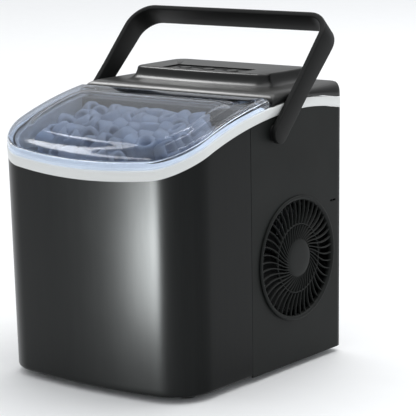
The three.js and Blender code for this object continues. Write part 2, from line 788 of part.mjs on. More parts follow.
const PIPES = {
  discharge_tube: [
    [-24, 80, 135], [-24, 81, 144], [-12, 98, 150], [6, 112, 151], [30, 124, 154], [48, 126, 159],
    [55.5, 124, 160], [55, 119, 160],
  ],
  liquid_tube: [[55, 114.5, 65], [54, 119, 64], [42, 121, 64], [30, 118, 66], [28, 116, 71], [28, 116, 77]],
  capillary_tube: [
    [28, 116, 143], [28, 116, 156], [14, 104, 190], [4, 90, 240], [2, 76, 262], [-2, 56, 267],
    [-2, 44, 265.5], [-2, 42, 261.6],
  ],
  suction_tube: [
    [-76, 42, 261], [-76, 43.5, 265.5], [-78, 56, 268], [-82, 74, 262], [-77, 80, 215], [-62, 80, 180],
    [-40, 70, 160], [-26, 44, 150], [-24, 36.5, 144], [-24, 36, 135.4],
  ],
  hot_gas_tube: [
    [6, 96, 142], [6, 95, 152], [20, 84, 210], [31, 78, 256], [35, 64, 267], [36, 50, 268], [36, 43.5, 265.5],
    [36, 42, 261],
  ],
};

function filterDrier() {
  const profile = [[0, 78.3], [2.4, 78.3], [3, 86], [8, 92], [8, 128], [3, 136], [2.4, 142.3], [0, 142.3]];
  return turned(profile, 28, 116, 12);
}

function hotGasValve() {
  const coil = box(-6, 18, 86, 106, 112, 130);
  const stem = rodZ(4, 100, 140.6, 6, 96, 12);
  return join(coil, stem);
}

// ---- water side ---------------------------------------------------------------------------
function tubProfile(wall) {
  const front = -DEPTH / 2 + TUB_INSET + wall - 2;
  const back = SHELF_BACK - wall;
  return [
    [front, TUB_FLOOR + wall + 6], [TUB_BACK - wall, TUB_FLOOR + wall], [TUB_BACK - wall, SHELF_Z + wall],
    [back, SHELF_Z + wall], [back, 300], [front, 300],
  ];
}

function innerLiner() {
  const rim = (y) => bandTop(y) - 0.8;
  const outerSection = profileX(tubProfile(0), -150, 150);
  const innerSection = profileX(tubProfile(TUB_WALL), -150, 150);
  const outside = slab(bodyPlan(TUB_INSET), 10, 300).intersect(outerSection);
  const inside = slab(bodyPlan(TUB_INSET + TUB_WALL), 10, 300).intersect(innerSection);
  const flange = cut(
    slab(bodyPlan(3.4), 150, 300).intersect(between((y) => rim(y) - 2, rim, -136, SHELF_BACK)),
    slab(bodyPlan(TUB_INSET + TUB_WALL), 10, 300),
  );
  const tub = cut(cut(outside, inside), between(rim, () => 330));
  const drainHole = rodY(4.3, -20, 0, -88, DRAIN.z, 16);
  const pipeNotch = box(-92, 50, 60, 75, 252, 300);
  return cut(join(tub, flange), drainHole, pipeNotch);
}

function foamInsulation() {
  const inset = SHELL_INSET + SHEET + 1.2;
  const jacket = cut(
    drafted(slab(bodyPlan(inset), 22, 268)),
    slab(bodyPlan(TUB_INSET - GAP), 10, 280),
    between((y) => bandBottom(y) - 8, () => 330),
    box(-150, 150, TUB_BACK - 2, 150, 0, 300),
  );
  return jacket;
}

function iceBasket() {
  const { inset, back, floor, rim, wall } = BASKET;
  const sloped = between(() => floor - 50, (y) => rim + 0.09 * (y + 110), -136, back, 1);
  const outside = slab(bodyPlan(inset), floor, 260).intersect(sloped);
  const inside = slab(bodyPlan(inset + wall), floor + wall, 262).intersect(
    between(() => floor, () => 280, -136, back - wall, 1),
  );
  let basket = cut(outside, inside);
  for (let k = -4; k <= 4; k += 1) {
    basket = cut(basket, box(20 * k - 2.5, 20 * k + 2.5, -104, -36, floor - 5, floor + 5));
  }
  for (const x of [-60, -20, 20, 60]) {
    basket = cut(basket, box(x - 12, x + 12, back - 5, back + 5, 120, 128));
  }
  return basket;
}

function evaporator() {
  let block = box(-80, 48, FINGER.rowFront - 6, FINGER.rowBack + 6, FINGER.top, 259);
  block = join(block, box(-80, 44, 38, 46, 253, 259.6));
  for (let k = 0; k < 5; k += 1) {
    block = join(block, finger(-68 + FINGER.pitch * k, FINGER.rowFront));
  }
  for (let k = 0; k < 4; k += 1) {
    block = join(block, finger(-54.5 + FINGER.pitch * k, FINGER.rowBack));
  }
  return block;
}

function finger(x, y) {
  const { tip, top, radius } = FINGER;
  const profile = [[0, tip], [radius - 3, tip + 1], [radius - 1.4, tip + 4], [radius, top + 1], [0, top + 1]];
  return turned(profile, x, y, 10);
}

function waterTray() {
  const { left, right, front, back, floor, rim, wall } = TRAY;
  const trough = cut(
    box(left, right, front, back, floor, rim),
    box(left + wall, right - wall, front + wall, back - wall, floor + wall, rim + 5),
  );
  const pins = join(
    rodX(3, left - 10, left + 1, TRAY_AXIS.y, TRAY_AXIS.z, 16),
    rodX(3, right - 1, right + 16, TRAY_AXIS.y, TRAY_AXIS.z, 16),
  );
  const hubs = join(
    rodX(6, left - 1.4, left + wall, TRAY_AXIS.y, TRAY_AXIS.z, 16),
    rodX(6, right - wall, right + 1.4, TRAY_AXIS.y, TRAY_AXIS.z, 16),
  );
  return join(trough, pins, hubs);
}

// The shovel's arms hang on the tray's pins; its blade lies under the tray, 40 degrees below level.
function iceShovel() {
  const leftArm = [TRAY.left - 4, TRAY.left - 2];
  const rightArm = [TRAY.right + 2, TRAY.right + 4];
  const bladeTurn = THREE.MathUtils.degToRad(40);
  const arm = ([x0, x1]) => {
    const strip = new THREE.BoxGeometry(x1 - x0, 50, 8);
    strip.translate((x0 + x1) / 2, -25, 0);
    strip.rotateX(bladeTurn);
    return join(solid(strip), rodX(6, x0, x1, 0, 0, 16));
  };
  const blade = new THREE.BoxGeometry(rightArm[1] - leftArm[0], 25, 2);
  blade.translate((leftArm[0] + rightArm[1]) / 2, -37.5, 0);
  blade.rotateX(bladeTurn);
  const frame = join(arm(leftArm), arm(rightArm), solid(blade));
  return cut(frame, rodX(3 + GAP, -150, 150, 0, 0, 16)).translate([0, TRAY_AXIS.y, TRAY_AXIS.z]);
}

function iceUnitFrame() {
  const cheek = (x0, x1) => box(x0, x1, 10, 64, 200, 250);
  const plates = join(cheek(TRAY.left - 8, TRAY.left - 6), cheek(TRAY.right + 6, TRAY.right + 8));
  const rail = box(TRAY.left - 8, TRAY.right + 8, 56, 64, 246, 250);
  return cut(join(plates, rail), rodX(3 + GAP, -150, 150, TRAY_AXIS.y, TRAY_AXIS.z, 16));
}

function trayMotor() {
  const x0 = TRAY.right + 8 + GAP;
  const body = box(x0, x0 + 24, 36, 64, 214, 246);
  return cut(body, rodX(3 + GAP, x0 - 1, TRAY.right + 18, TRAY_AXIS.y, TRAY_AXIS.z, 16));
}

function hingeEar(side) {
  const [x0, x1] = ordered(side * (HINGE.x - 5), side * (HINGE.x + 3));
  const stem = box(x0, x1, HINGE.y - HINGE.boss, HINGE.y + HINGE.boss, 261, HINGE.z);
  return cut(join(hingeBoss(side, HINGE.x - 5, HINGE.x + 3), stem), pinBore());
}

function iceUnitCover() {
  const plate = box(-96, 96, -14, COVER_FRONT - 1, 261, 263);
  const apron = box(-96, 96, -16, -14, 250, 263);
  return join(plate, apron, hingeEar(1), hingeEar(-1));
}

function waterPump() {
  const body = rodZ(15, 32, 62, 76, -34, 20);
  const outlet = rodZ(4, 61, 72, 84, -30, 10);
  return join(body, outlet);
}

const WATER_HOSE = [
  [84, -30, 72.6], [84.4, -29.6, 77], [91, -20, 86], [93, -18, 100], [93, -18, 160], [93, -18, 215],
  [92, -17, 232], [84, -12, 242], [70, -4, 250], [58, 3, 252.5], [54.5, 5.3, 248.5],
];

function iceSensor(side) {
  const x0 = side > 0 ? 104.8 : -107.7;
  return box(x0, x0 + 2.9, -66, -50, 226, 234);
}

// Left, right, bottom, top and depth of the transformer, relay, plugs and capacitor.
const BOARD_BLOCKS = [
  [-86, -62, 196, 224, 20],
  [-54, -40, 190, 214, 14],
  [-34, -8, 186, 196, 12],
  [-30, -16, 206, 230, 16],
];

function mainBoard() {
  let board = box(-92, 0, 108, 109.6, 180, 244);
  for (const [x0, x1, z0, z1, depth] of BOARD_BLOCKS) {
    board = join(board, box(x0, x1, 108.6 - depth, 109, z0, z1));
  }
  return board;
}

function powerGland() {
  const wall = (DEPTH / 2 - SHELL_INSET) * draftScale(GLAND.z);
  const { x, z } = GLAND;
  const inner = rodY(9.5, wall - PANEL - 3.6, wall - PANEL - 0.6, x, z, 20);
  const neck = rodY(6.8, wall - PANEL - 1, wall + 0.8, x, z, 20);
  const outer = rodY(9.5, wall + 0.4, wall + 1.4, x, z, 20);
  return cut(join(inner, neck, outer), rodY(3.6, 100, 150, x, z, 16));
}

const DRAIN_TUBE = [
  [-88, TUB_BACK + GAP, DRAIN.z], [-88, -5, DRAIN.z], [-93, -0.6, DRAIN.z],
  [-100, DRAIN.y, DRAIN.z], [-109, DRAIN.y, DRAIN.z],
];

function drainTube() {
  const elbow = tube(DRAIN_TUBE, 6, 10, 9);
  const flange = rodX(10, -115, -108, DRAIN.y, DRAIN.z, 20);
  return cut(join(elbow, flange), rodX(5 + GAP, -120, -102, DRAIN.y, DRAIN.z, 16));
}

function drainPlug() {
  const plug = rodX(4.9, -118, -103, DRAIN.y, DRAIN.z, 16);
  const head = rodX(8.6, -121.4, -117.4, DRAIN.y, DRAIN.z, 20);
  return join(plug, head);
}

// ---- assembly -----------------------------------------------------------------------------
part("front_shell", frontShell(), BLACK_STEEL);
part("right_side_panel", rightSidePanel(), CHARCOAL);
part("left_side_panel", leftSidePanel(), CHARCOAL);
part("rear_panel", rearPanel(), CHARCOAL);
part("base_pan", basePan(), ZINC);
part("trim_band", trimBand(), WHITE_TRIM);
footPlaces().forEach(([x, y], i) => {
  part(["foot_front_left", "foot_front_right", "foot_rear_left", "foot_rear_right"][i], foot(x, y), RUBBER);
});

part("top_cover", topCover(), SATIN_CHARCOAL);
part("control_panel", controlPanel(), GLOSS_PANEL);
buttonPlaces().forEach((x, i) => {
  part(["power_button", "size_button", "clean_button"][i], button(x), BUTTON_GREY);
});
part("button_board", buttonBoard(), BOARD_GREEN);

part("lid", lid(), SMOKY_CLEAR);
part("lid_hinge_pin_left", hingePin(-1), BRIGHT_STEEL);
part("lid_hinge_pin_right", hingePin(1), BRIGHT_STEEL);

const handleGroup = new THREE.Group();
handleGroup.position.set(0, HANDLE_AXIS.y, HANDLE_AXIS.z);
handleGroup.rotation.x = THREE.MathUtils.degToRad(HANDLE_LEAN);
iceMaker.add(handleGroup);
part("handle", handle(), SATIN_CHARCOAL, handleGroup);
part("handle_pivot_left", handlePivot(-1), BLACK_PAINT);
part("handle_pivot_right", handlePivot(1), BLACK_PAINT);

part("fan_grille", fanGrille(), CHARCOAL);
part("fan_shroud", fanShroud(), INNER_PLASTIC);
part("fan_motor", fanMotor(), ZINC);
part("fan_blades", fanBlades(), INNER_PLASTIC);
part("condenser_fins", condenserFins(), ALUMINIUM);
part("condenser_coil", condenserCoil(), COPPER);

part("compressor", compressor(), BLACK_PAINT);
part("compressor_terminal_cover", terminalCover(), GLOSS_PANEL);
grommetPlaces().forEach(([x, y], i) => part(`compressor_grommet_${i + 1}`, grommet(x, y), RUBBER));
part("filter_drier", filterDrier(), COPPER);
part("hot_gas_valve", hotGasValve(), ZINC);
for (const [name, points] of Object.entries(PIPES)) {
  const radius = name === "capillary_tube" ? 1.6 : 3;
  part(name, tube(points, radius, 6, 18), COPPER);
}

part("inner_liner", innerLiner(), WHITE_LINER);
part("foam_insulation", foamInsulation(), FOAM);
part("ice_basket", iceBasket(), BASKET_GREY);
part("evaporator", evaporator(), BRIGHT_STEEL);
part("water_tray", waterTray(), WHITE_LINER);
part("ice_shovel", iceShovel(), BASKET_GREY);
part("ice_unit_frame", iceUnitFrame(), INNER_PLASTIC);
part("tray_motor", trayMotor(), BLACK_PAINT);
part("ice_unit_cover", iceUnitCover(), INNER_PLASTIC);
part("water_pump", waterPump(), WHITE_TRIM);
part("water_hose", tube(WATER_HOSE, 3.5, 8, 20), SILICONE);
part("ice_sensor_left", iceSensor(-1), GLOSS_PANEL);
part("ice_sensor_right", iceSensor(1), GLOSS_PANEL);
part("main_board", mainBoard(), BOARD_GREEN);
part("power_gland", powerGland(), RUBBER);
part("drain_tube", drainTube(), SILICONE);
part("drain_plug", drainPlug(), RUBBER);

export default iceMaker;
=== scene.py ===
import json
import math
import random

import bmesh
import bpy
from mathutils import Matrix, Vector


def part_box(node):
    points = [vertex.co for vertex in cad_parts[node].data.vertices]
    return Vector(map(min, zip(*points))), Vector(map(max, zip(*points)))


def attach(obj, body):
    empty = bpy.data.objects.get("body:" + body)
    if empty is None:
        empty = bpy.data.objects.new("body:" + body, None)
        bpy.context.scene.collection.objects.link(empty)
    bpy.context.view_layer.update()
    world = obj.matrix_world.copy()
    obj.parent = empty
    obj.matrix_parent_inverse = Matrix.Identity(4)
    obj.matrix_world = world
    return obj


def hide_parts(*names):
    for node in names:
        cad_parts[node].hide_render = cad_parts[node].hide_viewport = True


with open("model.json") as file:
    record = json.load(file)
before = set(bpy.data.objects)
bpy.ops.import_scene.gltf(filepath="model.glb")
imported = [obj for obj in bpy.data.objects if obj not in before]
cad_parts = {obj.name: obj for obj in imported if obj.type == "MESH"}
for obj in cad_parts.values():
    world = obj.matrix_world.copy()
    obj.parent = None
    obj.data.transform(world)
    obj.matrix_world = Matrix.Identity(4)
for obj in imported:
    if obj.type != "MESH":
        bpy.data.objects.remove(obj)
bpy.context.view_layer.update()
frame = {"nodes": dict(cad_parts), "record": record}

MM = 0.001

# Plan of the housing, in millimetres.
HALF_WIDTH, FRONT, BACK = 120, -134.5, 134.5
BOW, CORNER, REAR_CORNER = 548, 44.5, 10
DRAFT, DRAFT_LEVEL = 0.0000708, 240
BODY_BOTTOM = 6
STEEL_INSET, STEEL_WALL, STEEL_TURN, SEAM_GAP = 0.6, 1.9, 4.0, 0.4

# Trim band, lid and top cover.
BAND_HEIGHT, BAND_PEAK_Y, BAND_PEAK_Z = 9.7, 67.3, 258.2
COVER_GAP, DECK_Z, PLATFORM_Z, COVER_FRONT = 0.8, 277, 290, 13
COVER_WALL, COVER_INSET = 2.0, 0.4
LID_HEIGHT, WINDOW_RISE, LID_WALL, LID_INSET = 9.5, 4, 2.0, 0.4
HINGE_Z = 268.6

# A bow this large leaves an edge nearly straight.
NEARLY_FLAT = 9000

# The lid's window: half width, front, back, front bow, front corner and rear corner.
WINDOW = (90, -113, -24, 430, 30, 15)

# Handle and fan.
HANDLE_Y, HANDLE_Z, HANDLE_LEAN = 16.8, 240, -45
FAN_Y, FAN_Z, FAN_FACE, RIB_COUNT = 52.5, 111, 117.5, 44

# Key panel in the top cover: half width, front and back, then the levels of its parts.
PANEL = (50, 55, 83)
RECESS_FLOOR, PANEL_FOOT, PANEL_SINK = 287.4, 287.8, 1.4
BUTTON_Y, BUTTON_PITCH = 69, 30
KEY_FOOT, KEY_TOP, INK_LEVEL = 288.75, 289.5, 289.33

# Ice: how far the basket lifts it, the gap it keeps under the closed lid, the room over the trim
# band under the lid's window and under its rim, the spacing of its pieces and their sides.
BASKET_LIFT, ICE_GAP = 6, 0.5
ROOM_UNDER_WINDOW, ROOM_UNDER_RIM = 11.4, 5.4
ICE_PITCH, ICE_SIDES = 18, 16


# ---------------------------------------------------------------- outlines

def arc(cx, cy, radius, start, stop, steps):
    """Points along a round corner, with its angles in degrees."""
    points = []
    for i in range(steps + 1):
        a = math.radians(start + (stop - start) * i / steps)
        points.append((cx + radius * math.cos(a), cy + radius * math.sin(a)))
    return points


def straight(a, b, steps):
    """Points along a line, without its first end."""
    points = []
    for i in range(1, steps + 1):
        points.append((a[0] + (b[0] - a[0]) * i / steps, a[1] + (b[1] - a[1]) * i / steps))
    return points


def half_plan(half_width, front, back, bow, corner, rear):
    """Right half of a rounded plan, from its front centre to its rear centre."""
    bow_y = front + bow
    corner_x = half_width - corner
    reach = bow - corner
    corner_y = bow_y - math.sqrt(reach * reach - corner_x * corner_x)
    meet = math.degrees(math.atan2(corner_y - bow_y, corner_x))
    points = arc(0, bow_y, bow, -90, meet, 14)
    points += arc(corner_x, corner_y, corner, meet, 0, 22)[1:]
    points += straight((half_width, corner_y), (half_width, back - rear), 24)
    points += arc(half_width - rear, back - rear, rear, 0, 90, 10)[1:]
    points += straight((half_width - rear, back), (0, back), 10)
    return points


def plan(*sizes):
    """A whole plan outline, always with the same number of points."""
    right = half_plan(*sizes)
    return right + [(-x, y) for x, y in right[-2:0:-1]]


def body_plan(inset, back=BACK):
    """The housing's plan, drawn in by an inset. A nearer back gives it small rear corners."""
    rear = max(REAR_CORNER - inset, 1) if back == BACK else 1.2
    return plan(HALF_WIDTH - inset, FRONT + inset, back, BOW - inset, CORNER - inset, rear)


def band_bottom(y):
    """Height of the trim band's lower edge, which falls away from its peak both ways."""
    if y > BAND_PEAK_Y:
        return BAND_PEAK_Z - 7.8 * ((y - BAND_PEAK_Y) / 67.2) ** 1.6
    u = (BAND_PEAK_Y - y) / 201.8
    return BAND_PEAK_Z - 45.7 * u ** 2 - 6.2 * u ** 10


def band_top(y):
    return band_bottom(y) + BAND_HEIGHT


def at(points, height):
    """Lifts a plan outline to a height, which may follow y, with the housing's draft."""
    ring = []
    for x, y in points:
        z = height(y) if callable(height) else height
        k = 1 + DRAFT * (z - DRAFT_LEVEL)
        ring.append((x * k * MM, y * k * MM, z * MM))
    return ring


# ---------------------------------------------------------------- mesh work

def new_piece(name, bm, sharp=40):
    """Turns finished mesh work into an object, smooth between its real edges."""
    bmesh.ops.recalc_face_normals(bm, faces=bm.faces)
    mesh = bpy.data.meshes.new(name)
    bm.to_mesh(mesh)
    bm.free()
    mesh.polygons.foreach_set("use_smooth", [True] * len(mesh.polygons))
    mesh.set_sharp_from_angle(angle=math.radians(sharp))
    piece = bpy.data.objects.new(name, mesh)
    bpy.context.scene.collection.objects.link(piece)
    return piece


def skin_rings(bm, rings, closed=True, hoop=False):
    """Draws faces between matched rings. A hoop also joins its last ring to its first."""
    rows = [[bm.verts.new(p) for p in ring] for ring in rings]
    pairs = list(zip(rows, rows[1:]))
    if hoop:
        pairs.append((rows[-1], rows[0]))
    for low, high in pairs:
        count = len(low)
        for i in range(count if closed else count - 1):
            j = (i + 1) % count
            bm.faces.new((low[i], low[j], high[j], high[i]))
    return rows


def loft(name, rings, closed=True, hoop=False, caps="", sharp=40):
    """A skin drawn over matched outlines. caps may name its first and last end."""
    bm = bmesh.new()
    rows = skin_rings(bm, rings, closed, hoop)
    if "first" in caps:
        bm.faces.new(rows[0][::-1])
    if "last" in caps:
        bm.faces.new(rows[-1])
    return new_piece(name, bm, sharp)


def thicken(piece, wall):
    """Gives an open skin its wall, inwards."""
    shell = piece.modifiers.new("wall", "SOLIDIFY")
    shell.thickness = wall * MM
    shell.offset = -1
    shell.use_even_offset = True
    return piece


def cut_away(piece, cutter):
    """Cuts one closed shape from a piece, and keeps the result as the piece's own mesh."""
    cut = piece.modifiers.new("opening", "BOOLEAN")
    cut.object = cutter
    cut.solver = "EXACT"
    bpy.context.view_layer.update()
    finished = piece.evaluated_get(bpy.context.evaluated_depsgraph_get())
    shaped = bpy.data.meshes.new_from_object(finished)
    piece.modifiers.clear()
    piece.data = shaped
    bpy.data.objects.remove(cutter)


def mount(piece, body, slot_name, material, *stands_for):
    """Gives a piece its material and body, and hides the CAD parts it stands for; its slot name is not used.
    """
    piece.data.materials.append(material)
    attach(piece, body)
    if stands_for:
        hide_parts(*stands_for)
    return piece


def turn(points, steps, place):
    """Rings made by turning a profile of (radius, height) round an axis."""
    rings = []
    for radius, height in points:
        ring = []
        for i in range(steps):
            a = 2 * math.pi * i / steps
            ring.append(place(radius * math.cos(a), radius * math.sin(a), height))
        rings.append(ring)
    return rings


def upright(x, y):
    return lambda a, b, h: ((x + a) * MM, (y + b) * MM, h * MM)


def sideways(a, b, h):
    return ((FAN_FACE + h) * MM, (FAN_Y + a) * MM, (FAN_Z + b) * MM)


# ---------------------------------------------------------------- shared surface effects

def effect(name, inputs, outputs):
    """A node group with named sockets. inputs are (name, default); outputs are names."""
    tree = bpy.data.node_groups.new(name, "ShaderNodeTree")
    for title, value in inputs:
        socket = tree.interface.new_socket(name=title, in_out="INPUT", socket_type="NodeSocketFloat")
        socket.default_value = value
    for title in outputs:
        tree.interface.new_socket(name=title, in_out="OUTPUT", socket_type="NodeSocketFloat")
    return tree, tree.nodes.new("NodeGroupInput"), tree.nodes.new("NodeGroupOutput")


def add_math(tree, operation, a, b=None, clamp=False):
    """A math node fed by numbers or by other nodes."""
    node = tree.nodes.new("ShaderNodeMath")
    node.operation = operation
    node.use_clamp = clamp
    for index, value in enumerate((a, b)):
        if value is None:
            continue
        if isinstance(value, (int, float)):
            node.inputs[index].default_value = value
        else:
            tree.links.new(value, node.inputs[index])
    return node.outputs[0]


def add_noise(tree, vector, scale, detail=3, roughness=0.6):
    node = tree.nodes.new("ShaderNodeTexNoise")
    node.inputs["Detail"].default_value = detail
    node.inputs["Roughness"].default_value = roughness
    tree.links.new(vector, node.inputs["Vector"])
    if isinstance(scale, (int, float)):
        node.inputs["Scale"].default_value = scale
    else:
        tree.links.new(scale, node.inputs["Scale"])
    return node.outputs["Fac"]


def object_place(tree):
    return tree.nodes.new("ShaderNodeTexCoord").outputs["Object"]


def edge_wear_effect():
    """Rubbed edges: where the rounded normal leaves the flat one, broken up by noise."""
    tree, given, result = effect("Edge wear", [("Radius", 0.0008), ("Amount", 0.5)], ["Mask"])
    rounded = tree.nodes.new("ShaderNodeBevel")
    rounded.samples = 4
    tree.links.new(given.outputs["Radius"], rounded.inputs["Radius"])
    geometry = tree.nodes.new("ShaderNodeNewGeometry")
    dot = tree.nodes.new("ShaderNodeVectorMath")
    dot.operation = "DOT_PRODUCT"
    tree.links.new(rounded.outputs["Normal"], dot.inputs[0])
    tree.links.new(geometry.outputs["Normal"], dot.inputs[1])
    lost = add_math(tree, "SUBTRACT", 1.0, dot.outputs["Value"])
    lifted = add_math(tree, "MULTIPLY", lost, 5.0, clamp=True)
    patchy = add_noise(tree, object_place(tree), 70, 4)
    broken = add_math(tree, "MULTIPLY", lifted, patchy)
    mask = add_math(tree, "MULTIPLY", broken, given.outputs["Amount"], clamp=True)
    tree.links.new(mask, result.inputs["Mask"])
    return tree


def moulded_grain_effect():
    """Spark-eroded mould texture: fine pips with a slower swell of colour."""
    tree, given, result = effect("Moulded grain", [("Scale", 1400)], ["Height", "Shade"])
    place = object_place(tree)
    fine = add_noise(tree, place, given.outputs["Scale"], 3, 0.55)
    slow = add_noise(tree, place, 22, 3, 0.5)
    tree.links.new(fine, result.inputs["Height"])
    both = add_math(tree, "ADD", fine, add_math(tree, "MULTIPLY", slow, 2.0))
    tree.links.new(add_math(tree, "MULTIPLY", both, 0.333), result.inputs["Shade"])
    return tree


def brushed_lines_effect():
    """Long upright scratches left by a brushing belt."""
    tree, given, result = effect("Brushed lines", [("Fineness", 1800), ("Length", 14)], ["Height", "Shade"])
    split = tree.nodes.new("ShaderNodeSeparateXYZ")
    tree.links.new(object_place(tree), split.inputs[0])
    joined = tree.nodes.new("ShaderNodeCombineXYZ")
    across = add_math(tree, "MULTIPLY", split.outputs["X"], given.outputs["Fineness"])
    deep = add_math(tree, "MULTIPLY", split.outputs["Y"], given.outputs["Fineness"])
    along = add_math(tree, "MULTIPLY", split.outputs["Z"], given.outputs["Length"])
    for source, socket in zip((across, deep, along), joined.inputs):
        tree.links.new(source, socket)
    lines = add_noise(tree, joined.outputs[0], 1.0, 4, 0.7)
    swell = add_noise(tree, joined.outputs[0], 0.06, 2, 0.5)
    tree.links.new(lines, result.inputs["Height"])
    fine = add_math(tree, "MULTIPLY", lines, 0.8)
    slow = add_math(tree, "MULTIPLY", swell, 0.2)
    tree.links.new(add_math(tree, "ADD", fine, slow), result.inputs["Shade"])
    return tree


def dust_effect():
    """A thin dust film on faces that look up."""
    tree, given, result = effect("Dust film", [("Amount", 0.3)], ["Mask"])
    geometry = tree.nodes.new("ShaderNodeNewGeometry")
    split = tree.nodes.new("ShaderNodeSeparateXYZ")
    tree.links.new(geometry.outputs["Normal"], split.inputs[0])
    upward = add_math(tree, "POWER", add_math(tree, "MAXIMUM", split.outputs["Z"], 0.0), 3.0)
    cloud = add_noise(tree, object_place(tree), 35, 5, 0.65)
    film = add_math(tree, "MULTIPLY", upward, cloud)
    mask = add_math(tree, "MULTIPLY", film, given.outputs["Amount"], clamp=True)
    tree.links.new(mask, result.inputs["Mask"])
    return tree


def handling_effect():
    """Faint smears that change the gloss where hands reach."""
    tree, given, result = effect("Handling marks", [("Scale", 18), ("Amount", 0.1)], ["Gloss change"])
    smear = add_noise(tree, object_place(tree), given.outputs["Scale"], 5, 0.6)
    centred = add_math(tree, "SUBTRACT", smear, 0.5)
    change = add_math(tree, "MULTIPLY", centred, given.outputs["Amount"])
    tree.links.new(change, result.inputs["Gloss change"])
    return tree


EFFECTS = {
    "wear": edge_wear_effect(),
    "grain": moulded_grain_effect(),
    "brushed": brushed_lines_effect(),
    "dust": dust_effect(),
    "handling": handling_effect(),
}


def use_effect(tree, key, **values):
    """Places a shared effect in a material, with the material's own values."""
    node = tree.nodes.new("ShaderNodeGroup")
    node.node_tree = EFFECTS[key]
    for title, value in values.items():
        node.inputs[title].default_value = value
    return node


def shade(color, factor):
    """A colour made lighter or darker, with its alpha."""
    return tuple(min(1, c * factor) for c in color) + (1,)


def colour_ramp(tree, source, low, high):
    ramp = tree.nodes.new("ShaderNodeValToRGB")
    ramp.color_ramp.elements[0].color = low
    ramp.color_ramp.elements[0].position = 0.3
    ramp.color_ramp.elements[1].color = high
    ramp.color_ramp.elements[1].position = 0.7
    tree.links.new(source, ramp.inputs["Fac"])
    return ramp.outputs["Color"]


# The mix node's colour sockets, by number, as its names are shared with other kinds of value.
COLOUR_UNDER, COLOUR_OVER, COLOUR_RESULT = 6, 7, 2

DUST_COLOUR = (0.42, 0.41, 0.39, 1)
WEAR_LIFT = 1.6


def mix_colour(tree, factor, under, over):
    node = tree.nodes.new("ShaderNodeMix")
    node.data_type = "RGBA"
    tree.links.new(factor, node.inputs["Factor"])
    tree.links.new(under, node.inputs[COLOUR_UNDER])
    node.inputs[COLOUR_OVER].default_value = over
    return node.outputs[COLOUR_RESULT]


def bump(tree, height, strength, distance):
    node = tree.nodes.new("ShaderNodeBump")
    node.inputs["Strength"].default_value = strength
    node.inputs["Distance"].default_value = distance
    tree.links.new(height, node.inputs["Height"])
    return node.outputs["Normal"]


def surface(name, color, roughness, metallic=0.0, pattern="grain", vary=0.15, relief=0.1,
            wear=0.4, wear_color=None, dust=0.25, handling=0.12, sockets=None, **pattern_values):
    """A finished material: patterned colour, worn edges, a dust film, gloss changes and relief."""
    material = bpy.data.materials.new(name)
    material.use_nodes = True
    tree = material.node_tree
    shader = tree.nodes["Principled BSDF"]
    shader.inputs["Metallic"].default_value = metallic
    for title, value in (sockets or {}).items():
        shader.inputs[title].default_value = value
    marks = use_effect(tree, pattern, **pattern_values)
    tone = colour_ramp(tree, marks.outputs["Shade"], shade(color, 1 - vary), shade(color, 1 + vary))
    worn = use_effect(tree, "wear", Amount=wear)
    bare = shade(color, WEAR_LIFT) if wear_color is None else shade(wear_color, 1)
    rubbed = mix_colour(tree, worn.outputs["Mask"], tone, bare)
    film = use_effect(tree, "dust", Amount=dust)
    dusty = mix_colour(tree, film.outputs["Mask"], rubbed, DUST_COLOUR)
    tree.links.new(dusty, shader.inputs["Base Color"])
    smears = use_effect(tree, "handling", Amount=handling)
    gloss = add_math(tree, "ADD", smears.outputs["Gloss change"], roughness, clamp=True)
    dulled = add_math(tree, "MULTIPLY", film.outputs["Mask"], 0.5)
    tree.links.new(add_math(tree, "ADD", gloss, dulled, clamp=True), shader.inputs["Roughness"])
    tree.links.new(bump(tree, marks.outputs["Height"], relief, 0.0002), shader.inputs["Normal"])
    return material


def clear_material(name, color, roughness, ior, relief, scale, shadow_tint, body=1.0):
    """A clear material with faint waves, which lets light through to what is under it."""
    material = bpy.data.materials.new(name)
    material.use_nodes = True
    tree = material.node_tree
    shader = tree.nodes["Principled BSDF"]
    shader.inputs["Transmission Weight"].default_value = body
    shader.inputs["IOR"].default_value = ior
    shader.inputs["Specular IOR Level"].default_value = 0.3
    waves = use_effect(tree, "grain", Scale=scale)
    tone = colour_ramp(tree, waves.outputs["Shade"], shade(color, 0.94), shade(color, 1.04))
    tree.links.new(tone, shader.inputs["Base Color"])
    smears = use_effect(tree, "handling", Amount=0.05)
    gloss = add_math(tree, "ADD", smears.outputs["Gloss change"], roughness, clamp=True)
    tree.links.new(gloss, shader.inputs["Roughness"])
    tree.links.new(bump(tree, waves.outputs["Height"], relief, 0.0004), shader.inputs["Normal"])
    light = tree.nodes.new("ShaderNodeLightPath")
    passing = tree.nodes.new("ShaderNodeBsdfTransparent")
    passing.inputs["Color"].default_value = shadow_tint
    joined = tree.nodes.new("ShaderNodeMixShader")
    tree.links.new(light.outputs["Is Shadow Ray"], joined.inputs["Fac"])
    tree.links.new(shader.outputs[0], joined.inputs[1])
    tree.links.new(passing.outputs[0], joined.inputs[2])
    tree.links.new(joined.outputs[0], tree.nodes["Material Output"].inputs["Surface"])
    return material


